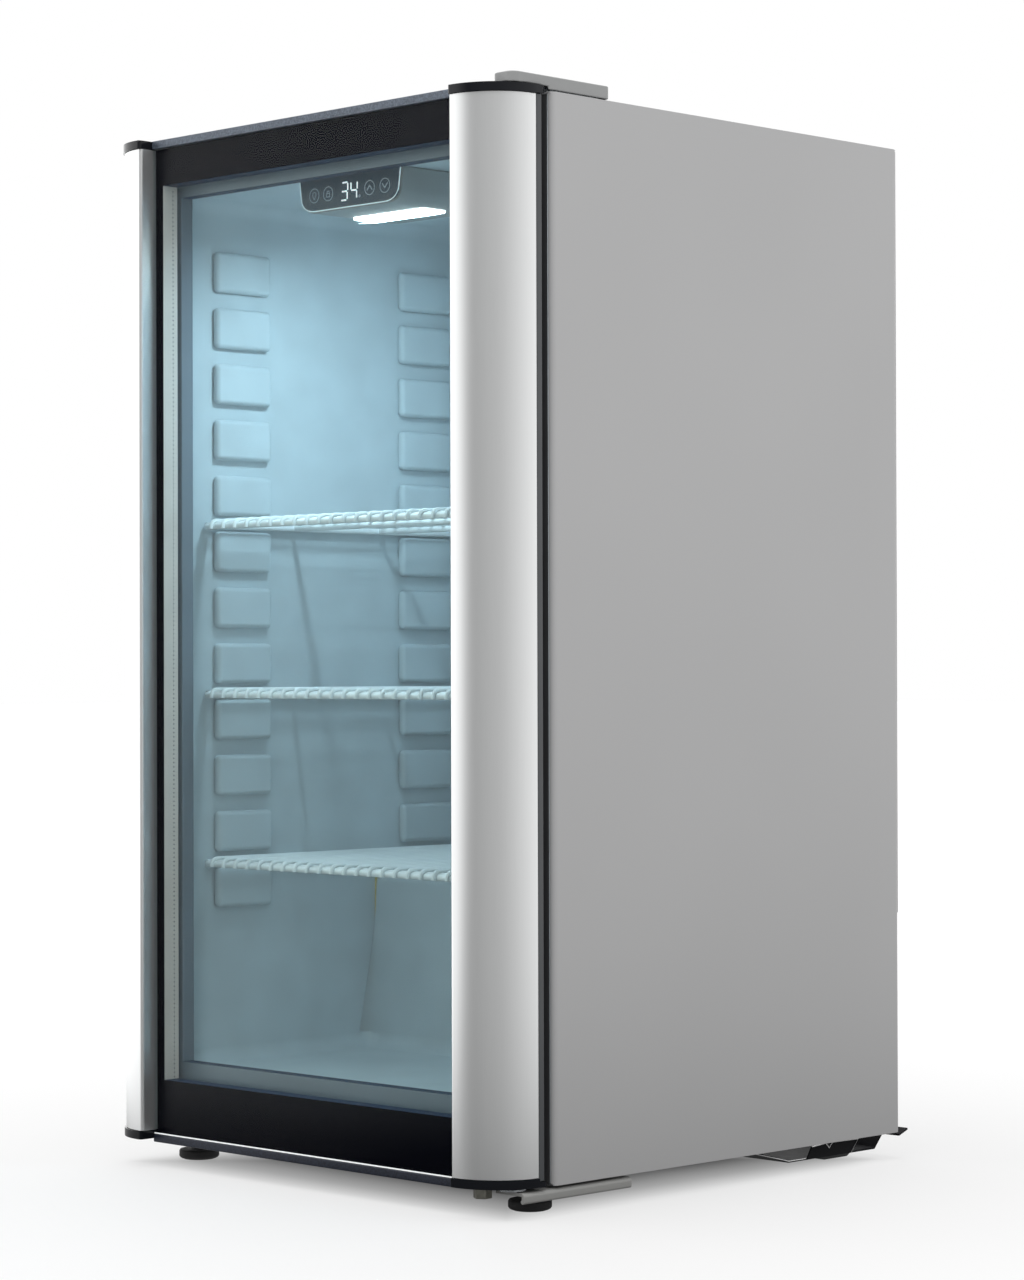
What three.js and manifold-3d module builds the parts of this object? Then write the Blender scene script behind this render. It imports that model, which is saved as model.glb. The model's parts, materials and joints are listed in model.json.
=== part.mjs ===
// Free-standing drinks cooler with a glass door, built from its separate pieces.
// Millimetres. X runs across, +Y runs from the door to the back, +Z is up.
// Lengths along Y are counted from the cabinet's front edge, and the whole group is centred at the end.

import * as THREE from 'three';
import { mergeVertices } from 'three/addons/utils/BufferGeometryUtils.js';
import Module from 'manifold-3d';

const wasm = await Module();
wasm.setup();

// ---------------------------------------------------------------- driving dimensions

const gap = 0.3; // clearance between pieces that touch

// cabinet shell
const cabinet = { halfWidth: 224, depth: 395, bottom: 22, top: 807 };
const sheet = 1.2; // steel sheet thickness
const shellHalf = cabinet.halfWidth - sheet - gap; // what fits between the side panels

// storage space
const inside = { halfWidth: 186, floor: 75, ceiling: 772, back: 340, stepFront: 200, stepTop: 226 };
const linerWall = 2;
const backGap = 3; // room behind the liner's walls for the foam to stay clear

// machine compartment at the lower back
const machine = { front: 230, top: 197 };
const condenserPocket = 7; // space between foam and side panel that holds the condenser pipe

// shelf supports moulded in the side walls
const slot = { first: 233, pitch: 45.2, height: 12.5, count: 11 };
const pad = { depth: 7, length: 58, front: 28, rear: 232 };
const shelfSlots = [0, 3, 6]; // the slots that hold shelves

// shelf
const shelf = { halfWidth: 184.5, front: 12, back: 298, height: 10, wire: 3, frame: 5, wirePitch: 14 };
const shelfRest = 0.5; // clearance of the shelf in its slot

// door
const door = { front: -56.3, pillarBack: -15, frameBack: -9, bottom: 29, top: 804, halfWidth: 222.6 };
const pillar = { inner: 175, wall: 2, nose: 3 };
const endCap = { height: 6.4, overhang: 1.4 };
const glass = { front: -44, pane: 4, air: 15, halfWidth: pillar.inner - gap };
const glazing = { halfWidth: 166, bottom: 69, top: 775, spacerWidth: 7 };
const doorWindow = { halfWidth: 165.5, bottom: 82, top: 767 };
const seal = { outer: 207, inner: 189, bottom: 31, top: 800, width: 16, front: -8.7, back: -0.3 };
const doorEdge = { bottom: 26.5, trim: 6.3 };

// hinges
const hinge = { x: 208, y: -28, pin: 4, bore: 4.3, bush: 7, bushLength: 14 };
const hingePlate = { thick: 2.5, left: 172, right: 219, bend: 8, back: 54, nose: 5.8, lift: 0.9, reach: 18 };
const hingeCover = { left: 166, right: 222, noseLeft: 200, front: -38, shoulder: 3, back: 63, round: 7 };
const hingeCoverHeight = { bottom: 808.5, top: 818, wall: 1.8 };
const bracket = { left: 195, outer: 223.6, thick: 2.5, low: 12, high: 20, front: -31, back: 81 };
const pinCollar = 10.5; // radius of the bottom pin's collar
const stopStud = { x: 193, y: -42, radius: 7, bottom: 15 };

// screws that hold the bottom hinge: [x, y] of each
const bottomScrews = [[207, 24], [207, 58]];
const screw = { radius: 2.5, hole: 3, head: 5, headHeight: 2.2, reach: 14 };

// feet
const frontFoot = { x: 187, y: 12, radius: 16, disc: 8, lip: 1.5, stud: 4, rise: 20 };
const rearFoot = { inner: 150, outer: 182, top: 7.2 };
const rearFootCurve = [[352, 0], [380, 0], [385, 3]]; // underside of a rear foot, as [y, z]

// base plate that carries the compressor, and its wider lip behind the cabinet
const basePlate = { front: 239, flat: 280, flatBack: 386, rise: 396, low: 7.5, high: 18.5, thick: 1.6 };
const basePlateHalf = 205;
const plateLip = { halfWidth: 222, back: 407, high: 22.5 };

// machinery
const condenser = { radius: 2.4, passes: 7, low: 237, step: 80, bend: 20, front: 30, back: 365 };
const compressor = { x: 30, y: 324, radius: 58, height: 134, bottom: basePlate.low + basePlate.thick };
// the compressor's shell, with its seam, as shares of its radius and height
const shellProfile = [
  [0, 0], [0.62, 0], [0.9, 0.09], [1, 0.25], [1, 0.46], [1.05, 0.46], [1.05, 0.5], [1, 0.5], [1, 0.69],
  [0.86, 0.87], [0.5, 0.97], [0, 1],
];
const mounting = { grommet: 7, radius: 9, outset: 12, spread: 34 };
const rail = { outset: 22, halfWidth: 13, thick: 2.5 };
const relay = { front: 6, back: 40, halfDepth: 24, low: 30, high: 84 };
const tray = { halfWidth: 62, halfDepth: 52, bottom: 163, height: 20, wall: 2, round: 12 };
const filterDrier = { x: -95, y: 300, bottom: 79, length: 96, neck: 3, body: 10, shoulder: 8 };
const suction = { radius: 3, column: 36 };
const discharge = { radius: 2.4, y: 300, column: -200 };
const gland = { x: 150, half: 14, front: 393.5, back: 402.5, height: 14, bore: 4 };

// control unit in the ceiling
const control = { x: 3, halfWidth: 58, bottomHalf: 50, front: 8, back: 96, bottom: 745 };
const controlShell = { corner: 10, taper: 2, wall: 2, face: 2 };
const board = { lift: 4, thick: 1.6 };
const lamp = { halfWidth: 40, front: 46, back: 70, drop: 2 };

// air duct and fan on the rear wall
const duct = { halfWidth: 150, bottom: 241, top: 739, front: 304, wall: 2.5 };
const ductSlots = { heights: [287, 307, 327, 347], halfWidth: 90, halfHeight: 3 };
const coldPlate = { halfWidth: 130, bottom: 257, top: 587, thick: 3, behind: 5 };
const probe = { x: -168, y: 326, bottom: 617, radius: 4, length: 34 };
const fan = { z: 647, radius: 46, tip: 43, hub: 15, blades: 7, front: 309, back: 319 };
const bladeShape = { root: 3, halfThick: 1, halfDepth: 10, twist: Math.PI / 7 };
const guard = { rings: [50, 38, 26, 14], wire: 3, thick: 2.4, spokes: 4 };
const motor = { clearance: 1, depth: 9, armFront: 5, armReach: 8, armHalf: 3 };

const round = 24; // facets on small round pieces

// ---------------------------------------------------------------- materials

function finish(color, roughness, metalness = 0, opacity = 1) {
  return new THREE.MeshStandardMaterial({ color, roughness, metalness, opacity, transparent: opacity < 1 });
}

const paintedSteel = finish(0x9fa0a1, 0.45, 0.3);
const anodised = finish(0xc9cccd, 0.35, 0.9);
const blackGloss = finish(0x14151a, 0.15);
const blackPlastic = finish(0x202124, 0.5);
const blackRubber = finish(0x101010, 0.8);
const whiteLiner = finish(0xe6ecef, 0.4);
const foam = finish(0xd9c98a, 0.9);
const clearGlass = finish(0xdfeef2, 0.03, 0, 0.25);
const galvanised = finish(0xa9adb0, 0.4, 0.8);
const zinc = finish(0xb9bcbf, 0.3, 0.9);
const bareAluminium = finish(0xc4c8ca, 0.35, 0.9);
const greyPlastic = finish(0xa4a5a6, 0.5);
const slatePanel = finish(0x43505c, 0.2);
const lampLens = finish(0xffffff, 0.3, 0, 0.8);
const coatedWire = finish(0xf2f5f7, 0.35);
const compressorBlack = finish(0x17181a, 0.35, 0.4);
const copper = finish(0xb8734a, 0.3, 0.9);
const circuitBoard = finish(0x1f5a3a, 0.5);

// ---------------------------------------------------------------- geometry helpers

// A box from its limits.
function boxShape(x, y, z) {
  const geometry = new THREE.BoxGeometry(x[1] - x[0], y[1] - y[0], z[1] - z[0]);
  return geometry.translate((x[0] + x[1]) / 2, (y[0] + y[1]) / 2, (z[0] + z[1]) / 2);
}

// A closed outline from corner points.
function outline(points) {
  return new THREE.Shape(points.map(([a, b]) => new THREE.Vector2(a, b)));
}

// A rectangle, with rounded corners where a radius is given.
function rectangle([x0, x1], [y0, y1], radius = 0) {
  if (radius === 0) return outline([[x0, y0], [x1, y0], [x1, y1], [x0, y1]]);
  const shape = new THREE.Shape();
  shape.absarc(x1 - radius, y0 + radius, radius, -Math.PI / 2, 0);
  shape.absarc(x1 - radius, y1 - radius, radius, 0, Math.PI / 2);
  shape.absarc(x0 + radius, y1 - radius, radius, Math.PI / 2, Math.PI);
  shape.absarc(x0 + radius, y0 + radius, radius, Math.PI, 1.5 * Math.PI);
  return shape;
}

function circle(x, y, radius) {
  return new THREE.Shape().absarc(x, y, radius, 0, 2 * Math.PI);
}

function withHoles(shape, holes) {
  shape.holes.push(...holes);
  return shape;
}

// An outline in X and Y, raised from z[0] to z[1].
function riseZ(shape, z, curveSegments = 6) {
  const depth = z[1] - z[0];
  const geometry = new THREE.ExtrudeGeometry(shape, { depth, bevelEnabled: false, curveSegments });
  return geometry.translate(0, 0, z[0]);
}

// An outline in X and Z, run from y[0] to y[1].
function runY(shape, y, curveSegments = 6) {
  const depth = y[1] - y[0];
  const geometry = new THREE.ExtrudeGeometry(shape, { depth, bevelEnabled: false, curveSegments });
  return geometry.rotateX(Math.PI / 2).translate(0, y[1], 0);
}

// An outline in Y and Z, run from x[0] to x[1].
function runX(shape, x, curveSegments = 6) {
  const depth = x[1] - x[0];
  const geometry = new THREE.ExtrudeGeometry(shape, { depth, bevelEnabled: false, curveSegments });
  return geometry.rotateX(Math.PI / 2).rotateZ(Math.PI / 2).translate(x[0], 0, 0);
}

// A turned piece about Z from [radius, height] pairs that start and end on the axis or close on themselves.
function turned(profile, segments = round) {
  const geometry = new THREE.LatheGeometry(profile.map(([r, z]) => new THREE.Vector2(r, z)), segments);
  return geometry.rotateX(Math.PI / 2);
}

// A solid upright cylinder.
function rod(x, y, z, radius, segments = round) {
  const profile = [[0, z[0]], [radius, z[0]], [radius, z[1]], [0, z[1]]];
  return turned(profile, segments).translate(x, y, 0);
}

// A round pipe along a list of points with smooth bends.
function pipe(points, radius, steps, sides = 8) {
  const path = new THREE.CatmullRomCurve3(points.map((p) => new THREE.Vector3(...p)), false, 'centripetal');
  const section = outline(Array.from({ length: sides }, (_, i) => {
    const angle = (2 * Math.PI * i) / sides;
    return [radius * Math.cos(angle), radius * Math.sin(angle)];
  }));
  return new THREE.ExtrudeGeometry(section, { steps, extrudePath: path, bevelEnabled: false });
}

function toManifold(geometry) {
  const bare = geometry.clone();
  bare.deleteAttribute('normal');
  bare.deleteAttribute('uv');
  const merged = mergeVertices(bare, 1e-4);
  return new wasm.Manifold(new wasm.Mesh({
    numProp: 3,
    vertProperties: new Float32Array(merged.attributes.position.array),
    triVerts: new Uint32Array(merged.index.array),
  }));
}

function toGeometry(manifold) {
  const { vertProperties, triVerts } = manifold.getMesh();
  const geometry = new THREE.BufferGeometry();
  geometry.setAttribute('position', new THREE.BufferAttribute(vertProperties, 3));
  geometry.setIndex(new THREE.BufferAttribute(triVerts, 1));
  geometry.computeVertexNormals();
  return geometry;
}

function join(geometries) {
  return toGeometry(geometries.map(toManifold).reduce((whole, piece) => whole.add(piece)));
}

function cut(geometry, cutters) {
  const whole = toManifold(geometry);
  return toGeometry(cutters.map(toManifold).reduce((rest, piece) => rest.subtract(piece), whole));
}

// The same piece on the other side of the middle.
function mirrored(geometry) {
  const copy = geometry.index ? geometry.toNonIndexed() : geometry.clone();
  const position = copy.attributes.position;
  for (let i = 0; i < position.count; i += 3) {
    const corners = [0, 2, 1].map((k) => new THREE.Vector3().fromBufferAttribute(position, i + k));
    corners.forEach((p, k) => position.setXYZ(i + k, -p.x, p.y, p.z));
  }
  copy.computeVertexNormals();
  return copy;
}

// ---------------------------------------------------------------- assembly

const cooler = new THREE.Group();

function addPiece(name, geometry, material) {
  const mesh = new THREE.Mesh(geometry, material);
  mesh.name = name;
  cooler.add(mesh);
}

// Adds a right-hand piece and its mirror image on the left.
function addPair(name, geometry, material) {
  addPiece(`${name}_right`, geometry, material);
  addPiece(`${name}_left`, mirrored(geometry), material);
}

const span = (half, middle = 0) => [middle - half, middle + half];
const shellDepth = [0, cabinet.depth];

function addShell() {
  const sideX = [cabinet.halfWidth - sheet, cabinet.halfWidth];
  addPair('side_panel', boxShape(sideX, shellDepth, [cabinet.bottom, cabinet.top]), paintedSteel);
  const topZ = [cabinet.top - sheet, cabinet.top];
  addPiece('top_panel', boxShape(span(shellHalf), shellDepth, topZ), paintedSteel);
  const backY = [cabinet.depth - sheet, cabinet.depth];
  const backZ = [machine.top, cabinet.top - sheet - gap];
  addPiece('back_panel', boxShape(span(shellHalf), backY, backZ), paintedSteel);
  addBasePan();
  addBulkhead();
}

// The cabinet's floor, with holes for the front feet and for the bottom hinge's screws.
function addBasePan() {
  const floorBox = boxShape(span(shellHalf), [0, machine.front], [cabinet.bottom, cabinet.bottom + sheet]);
  const floorLimits = [cabinet.bottom - sheet, cabinet.bottom + 2 * sheet];
  const footHole = frontFoot.stud + 1;
  const footHoles = [frontFoot.x, -frontFoot.x].map((x) => rod(x, frontFoot.y, floorLimits, footHole));
  const screwHoles = bottomScrews.map(([x, y]) => rod(x, y, floorLimits, screw.hole));
  addPiece('base_pan', cut(floorBox, [...footHoles, ...screwHoles]), galvanised);
}

// The machine compartment's front wall and ceiling, folded from one sheet.
function addBulkhead() {
  const bulkheadBack = cabinet.depth - sheet - gap;
  const bulkhead = outline([
    [machine.front + gap, cabinet.bottom], [machine.front + gap + sheet, cabinet.bottom],
    [machine.front + gap + sheet, machine.top - sheet], [bulkheadBack, machine.top - sheet],
    [bulkheadBack, machine.top], [machine.front + gap, machine.top],
  ]);
  addPiece('machine_bulkhead', runX(bulkhead, span(shellHalf)), galvanised);
}

// The storage space as an outline in Y and Z, grown outwards by a margin.
function storageOutline(front, margin) {
  return outline([
    [front, inside.floor - margin], [inside.stepFront + margin, inside.floor - margin],
    [inside.stepFront + margin, inside.stepTop - margin], [inside.back + margin, inside.stepTop - margin],
    [inside.back + margin, inside.ceiling + margin], [front, inside.ceiling + margin],
  ]);
}

function addInsulation() {
  const front = linerWall + gap;
  const bottom = cabinet.bottom + sheet + gap;
  const back = cabinet.depth - sheet - gap;
  const top = cabinet.top - sheet - gap;
  const halfWidth = shellHalf - condenserPocket;
  const body = runX(outline([
    [front, bottom], [machine.front, bottom], [machine.front, machine.top + gap],
    [back, machine.top + gap], [back, top], [front, top],
  ]), span(halfWidth));
  const margin = linerWall + backGap;
  const cavity = runX(storageOutline(0, margin), span(inside.halfWidth + linerWall + gap));
  const footPockets = [frontFoot.x, -frontFoot.x].map(
    (x) => rod(x, frontFoot.y, [0, cabinet.bottom + frontFoot.rise], frontFoot.stud + 2),
  );
  const screwPockets = bottomScrews.map(
    ([x, y]) => rod(x, y, [0, cabinet.bottom + screw.reach + 2], screw.hole),
  );
  addPiece('insulation', cut(body, [cavity, ...footPockets, ...screwPockets]), foam);
}

function supportPads() {
  const pads = [];
  for (let level = 0; level <= slot.count; level += 1) {
    const top = slot.first + slot.pitch * level;
    const bottom = top - (slot.pitch - slot.height);
    for (const front of [pad.front, pad.rear]) {
      const lowest = front > inside.stepFront ? inside.stepTop - linerWall / 2 : bottom;
      const limits = [front, front + pad.length];
      const height = [Math.max(bottom, lowest), top];
      pads.push(boxShape([inside.halfWidth - pad.depth, inside.halfWidth + linerWall / 2], limits, height));
      pads.push(boxShape([-inside.halfWidth - linerWall / 2, pad.depth - inside.halfWidth], limits, height));
    }
  }
  return pads;
}

function addLiner() {
  const tub = runX(storageOutline(0, linerWall), span(inside.halfWidth + linerWall));
  const flange = boxShape(
    span(shellHalf), [0, linerWall], [cabinet.bottom + sheet + gap, cabinet.top - sheet - gap],
  );
  const hollow = runX(storageOutline(-linerWall, 0), span(inside.halfWidth));
  const shell = cut(join([tub, flange]), [hollow]);
  addPiece('liner', join([shell, ...supportPads()]), whiteLiner);
}

// A wire shelf: a grid of wires from front to back between a deep front rail and a rear rail.
function addShelf(name, level) {
  const { halfWidth, front, back, height, wire, frame, wirePitch } = shelf;
  const low = slot.first + slot.pitch * level + shelfRest;
  const high = low + height;
  const railBack = front + 2 * frame - 2;
  const grid = [high - frame, high - 1];
  const lanes = Math.floor((2 * (halfWidth - frame)) / wirePitch);
  const firstLane = -(lanes * wirePitch) / 2;
  const spaces = Array.from({ length: lanes }, (_, i) => {
    const left = firstLane + i * wirePitch + wire / 2;
    return boxShape([left, left + wirePitch - wire], [railBack + 1, back - frame], [low, high]);
  });
  const wires = cut(boxShape(span(halfWidth), [front + 1, back], grid), spaces);
  const rail = boxShape(span(halfWidth), [front, railBack], [low, high]);
  addPiece(name, join([wires, rail]), coatedWire);
}

// ---------------------------------------------------------------- door

// Plan of a door pillar: flat inner side and back, and a quarter-ellipse outside that can overhang.
function pillarPlan(overhang) {
  const width = door.halfWidth - pillar.inner + overhang;
  const depth = door.pillarBack - door.front + overhang;
  const x = pillar.inner;
  const back = door.pillarBack;
  const { nose } = pillar;
  const shape = new THREE.Shape();
  shape.moveTo(x, back);
  shape.lineTo(x + width / 2, back);
  shape.absellipse(x + nose, back, width - nose, depth, 0, -Math.PI / 2, true);
  shape.quadraticCurveTo(x, back - depth, x, back - depth + nose);
  return shape;
}

function addPillars() {
  const wall = pillar.wall;
  const inner = pillar.inner + wall;
  const back = door.pillarBack - wall;
  const width = door.halfWidth - pillar.inner - 2 * wall;
  const depth = door.pillarBack - door.front - 2 * wall;
  const bore = new THREE.Shape();
  bore.moveTo(inner, back);
  bore.lineTo(inner + width / 2, back);
  bore.absellipse(inner, back, width, depth, 0, -Math.PI / 2, true);
  const height = [door.bottom + gap, door.top - gap];
  const channel = riseZ(bore, [door.bottom, door.top], 12);
  addPair('pillar', cut(riseZ(pillarPlan(0), height, 12), [channel]), anodised);
}

// An end cap: the pillar's plan with an overhang, and a tab that reaches back over the door frame's end.
function capBlank(z, tabHeight) {
  const tabX = [pillar.inner, door.halfWidth + endCap.overhang];
  const tab = boxShape(tabX, [door.pillarBack - 1, door.frameBack], tabHeight);
  return join([riseZ(pillarPlan(endCap.overhang), z, 12), tab]);
}

function addEndCaps() {
  const low = [door.bottom - endCap.height, door.bottom];
  const high = [door.top, door.top + endCap.height];
  const bore = (z) => rod(hinge.x, hinge.y, [z[0] - 1, z[1] + 1], hinge.bush + gap);
  const lowCap = capBlank(low, [low[0], doorEdge.bottom - gap]);
  const highCap = capBlank(high, [door.top + gap, high[1]]);
  addPiece('end_cap_bottom_right', cut(lowCap, [bore(low)]), blackGloss);
  addPiece('end_cap_top_right', cut(highCap, [bore(high)]), blackGloss);
  addPiece('end_cap_bottom_left', mirrored(lowCap), blackGloss);
  addPiece('end_cap_top_left', mirrored(highCap), blackGloss);
}

function bushing(z) {
  const { bore, bush } = hinge;
  const profile = [[bore, z[0]], [bush, z[0]], [bush, z[1]], [bore, z[1]], [bore, z[0]]];
  return turned(profile).translate(hinge.x, hinge.y, 0);
}

function addBushes() {
  const low = [door.bottom - endCap.height + gap, door.bottom + hinge.bushLength];
  const high = [door.top - hinge.bushLength, door.top + endCap.height - gap];
  addPiece('hinge_bush_bottom', bushing(low), blackPlastic);
  addPiece('hinge_bush_top', bushing(high), blackPlastic);
}

function rectRing(outerX, outerZ, innerX, innerZ) {
  return withHoles(rectangle(span(outerX), outerZ), [rectangle(span(innerX), innerZ)]);
}

function addGlazing() {
  const paneHigh = [doorEdge.bottom, door.top];
  const frontPane = boxShape(span(glass.halfWidth), [glass.front, glass.front + glass.pane], paneHigh);
  addPiece('front_glass', frontPane, clearGlass);
  const spacerFront = glass.front + glass.pane + gap;
  const spacerBack = spacerFront + glass.air - 2 * gap;
  const outer = glazing.halfWidth + glazing.spacerWidth;
  const outerZ = [glazing.bottom - glazing.spacerWidth, glazing.top + glazing.spacerWidth];
  const spacer = rectRing(outer, outerZ, glazing.halfWidth, [glazing.bottom, glazing.top]);
  addPiece('glass_spacer', runY(spacer, [spacerFront, spacerBack]), bareAluminium);
  const rearFront = spacerBack + gap;
  addPiece('rear_glass', boxShape(span(outer), [rearFront, rearFront + glass.pane], outerZ), clearGlass);
}

function addDoorFrame() {
  const rearGlassBack = glass.front + 2 * glass.pane + glass.air;
  const windowZ = [doorWindow.bottom, doorWindow.top];
  const frameZ = [doorEdge.bottom, door.top];
  const middle = door.pillarBack + gap;
  const ring = (half) => rectRing(half, frameZ, doorWindow.halfWidth, windowZ);
  const backFace = runY(ring(door.halfWidth), [middle, door.frameBack]);
  const stepFront = rearGlassBack + gap;
  const step = runY(ring(glass.halfWidth), [stepFront, middle + 1]);
  const pocketX = glazing.halfWidth + glazing.spacerWidth + gap;
  const pocketZ = [glazing.bottom - glazing.spacerWidth - gap, glazing.top + glazing.spacerWidth + gap];
  const pocketFront = glass.front + glass.pane + gap;
  const rim = runY(rectRing(glass.halfWidth, frameZ, pocketX, pocketZ), [pocketFront, stepFront + 1]);
  addPiece('door_frame', join([backFace, step, rim]), blackPlastic);
}

function addDoorTrims() {
  const depth = [glass.front - 1, door.frameBack];
  const inner = pillar.inner - gap;
  const low = doorEdge.bottom - gap;
  addPiece('door_trim_bottom', boxShape(span(inner), depth, [low - doorEdge.trim, low]), blackGloss);
  const high = door.top + gap;
  addPiece('door_trim_top', boxShape(span(inner), depth, [high, high + doorEdge.trim]), blackGloss);
}

function addGasket() {
  const innerZ = [seal.bottom + seal.width, seal.top - seal.width];
  const ring = rectRing(seal.outer, [seal.bottom, seal.top], seal.inner, innerZ);
  addPiece('door_gasket', runY(ring, [seal.front, seal.back]), blackRubber);
}

// ---------------------------------------------------------------- hinges

// A screw driven upwards, with the top of its head at the given height.
function screwSolid(x, y, seat) {
  const low = seat - screw.headHeight;
  const high = seat + screw.reach;
  return turned([
    [0, low], [screw.head, low], [screw.head, seat], [screw.radius, seat], [screw.radius, high], [0, high],
  ], 16).translate(x, y, 0);
}

// The top hinge plate steps down from the cabinet's top to the door and carries a riveted pin.
function addTopHinge() {
  const { thick, left, right, bend, back, nose, lift, reach } = hingePlate;
  const doorSide = door.top + endCap.height + lift;
  const cabinetSide = cabinet.top + gap;
  const noseX = [hinge.x - nose, hinge.x + nose];
  const bendY = [bend, bend + 4];
  const solid = join([
    rod(hinge.x, hinge.y, [door.top - reach, doorSide + 1], hinge.pin),
    rod(hinge.x, hinge.y, [doorSide, doorSide + thick], nose),
    boxShape(noseX, [hinge.y, bendY[1]], [doorSide, doorSide + thick]),
    boxShape(noseX, bendY, [cabinetSide, doorSide + thick]),
    boxShape([left, right], [bend, back], [cabinetSide, cabinetSide + thick]),
  ]);
  addPiece('hinge_plate_top', solid, zinc);
}

// Plan of the hinge cover: a narrow nose over the door and a wide part over the cabinet.
function coverPlan(margin) {
  const radius = hingeCover.round - margin;
  const right = hingeCover.right - margin;
  const noseLeft = hingeCover.noseLeft + margin;
  const front = hingeCover.front + margin;
  const left = hingeCover.left + margin;
  const shoulder = hingeCover.shoulder + margin;
  const back = hingeCover.back - margin;
  const shape = new THREE.Shape();
  shape.absarc(noseLeft + radius, front + radius, radius, Math.PI, 1.5 * Math.PI);
  shape.absarc(right - radius, front + radius, radius, 1.5 * Math.PI, 2 * Math.PI);
  shape.absarc(right - radius / 2, back - radius / 2, radius / 2, 0, Math.PI / 2);
  shape.absarc(left + radius, back - radius, radius, Math.PI / 2, Math.PI);
  shape.absarc(left + radius, shoulder + radius, radius, Math.PI, 1.5 * Math.PI);
  shape.lineTo(noseLeft, shoulder);
  return shape;
}

// The hinge cover is open below, and cut away in front of the cabinet so that the door clears it.
function addHingeCover() {
  const { bottom, top, wall } = hingeCoverHeight;
  const block = riseZ(coverPlan(0), [bottom, top]);
  const hollow = riseZ(coverPlan(wall), [bottom - 1, top - wall]);
  const roomX = [hingeCover.left, cabinet.halfWidth];
  const roomTop = door.top + endCap.height + gap;
  const doorRoom = boxShape(roomX, [door.front, -1], [bottom - 1, roomTop]);
  addPiece('hinge_cover', cut(block, [hollow, doorRoom]), greyPlastic);
}

// The bottom bracket: a plate under the cabinet's corner with a flange folded down along its side.
function addBottomBracket() {
  const { left, outer, thick, low, high, front, back } = bracket;
  const plateLow = high - thick;
  const fold = outer - thick;
  const profile = outline([
    [left, plateLow], [fold, plateLow], [fold, low], [outer, low], [outer, high], [left, high],
  ]);
  const holes = bottomScrews.map(([x, y]) => rod(x, y, [plateLow - 1, high + 1], screw.hole));
  addPiece('hinge_bracket_bottom', cut(runY(profile, [front, back]), holes), greyPlastic);
  bottomScrews.forEach(([x, y], i) => {
    addPiece(`hinge_screw_bottom_${i + 1}`, screwSolid(x, y, plateLow - gap), zinc);
  });
}

function addBottomPin() {
  const seat = bracket.high + gap;
  const collarTop = door.bottom - endCap.height - gap;
  const pinTop = door.bottom + hinge.bushLength - 2;
  const pin = turned([
    [0, seat], [pinCollar, seat], [pinCollar, collarTop], [hinge.pin, collarTop], [hinge.pin, pinTop],
    [0, pinTop],
  ]).translate(hinge.x, hinge.y, 0);
  addPiece('hinge_pin_bottom', pin, zinc);
  const { x, y, radius, bottom } = stopStud;
  addPiece('door_stop_stud', rod(x, y, [bottom, collarTop], radius, 6), zinc);
}

// ---------------------------------------------------------------- feet and base

function addFrontFeet() {
  const { radius, disc, lip, stud, rise } = frontFoot;
  const top = cabinet.bottom + rise - 3;
  const foot = turned([
    [0, 0], [radius - lip, 0], [radius, lip], [radius, disc - lip], [radius - lip, disc], [stud, disc],
    [stud, top], [0, top],
  ]);
  addPair('front_foot', foot.translate(frontFoot.x, frontFoot.y, 0), blackRubber);
}

function addBasePlate() {
  const { front, flat, flatBack, rise, low, high, thick } = basePlate;
  const lower = [[front, high], [flat, low], [flatBack, low], [rise, high]];
  const upper = lower.map(([y, z]) => [y, z + thick]).reverse();
  const pan = runX(outline([...lower, ...upper]), span(basePlateHalf));
  const lip = outline([
    [rise, high], [plateLip.back, plateLip.high], [plateLip.back, plateLip.high + thick],
    [rise, high + thick],
  ]);
  addPiece('compressor_base', join([pan, runX(lip, span(plateLip.halfWidth))]), compressorBlack);
}

function addRearFeet() {
  const { inner, outer, top } = rearFoot;
  const side = outline([[basePlate.flat + 34, top], [334, 3.4], ...rearFootCurve, [387, top]]);
  addPair('rear_foot', runX(side, [inner, outer]), blackPlastic);
}

// ---------------------------------------------------------------- refrigeration

// The condenser pipe's path runs back and forth up the side, with a bend at the end of each pass.
function condenserPoints(x) {
  const { passes, low, step, bend, front, back } = condenser;
  const points = [];
  for (let i = 0; i < passes; i += 1) {
    const z = low + step * i;
    const ends = i % 2 === 0 ? [front, back] : [back, front];
    const turn = Math.sign(ends[1] - ends[0]) * bend;
    points.push([x, ends[0] + turn, z], [x, (ends[0] + ends[1]) / 2, z], [x, ends[1] - turn, z]);
    if (i < passes - 1) points.push([x, ends[1], z + step / 2]);
  }
  return points;
}

function addCondenser() {
  const x = shellHalf - condenserPocket / 2;
  addPiece('condenser_pipe', pipe(condenserPoints(x), condenser.radius, 90, 6), copper);
}

// A sealed compressor: two pressed half shells joined at a seam, on two mounting rails.
function addCompressor() {
  const { x, y, radius, height, bottom } = compressor;
  const low = bottom + gap + mounting.grommet + gap;
  const profile = shellProfile.map(([r, z]) => [radius * r, low + height * z]);
  const shell = turned(profile, 32).translate(x, y, 0);
  const railX = span(radius + rail.outset, x);
  const rails = [-1, 1].map((side) => boxShape(
    railX, span(rail.halfWidth, y + side * mounting.spread), [low, low + rail.thick],
  ));
  addPiece('compressor', join([shell, ...rails]), compressorBlack);
  const relayX = [x + radius + relay.front, x + radius + relay.back];
  const relayBox = boxShape(relayX, span(relay.halfDepth, y), [low + relay.low, low + relay.high]);
  addPiece('starter_relay_box', relayBox, blackPlastic);
}

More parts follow.
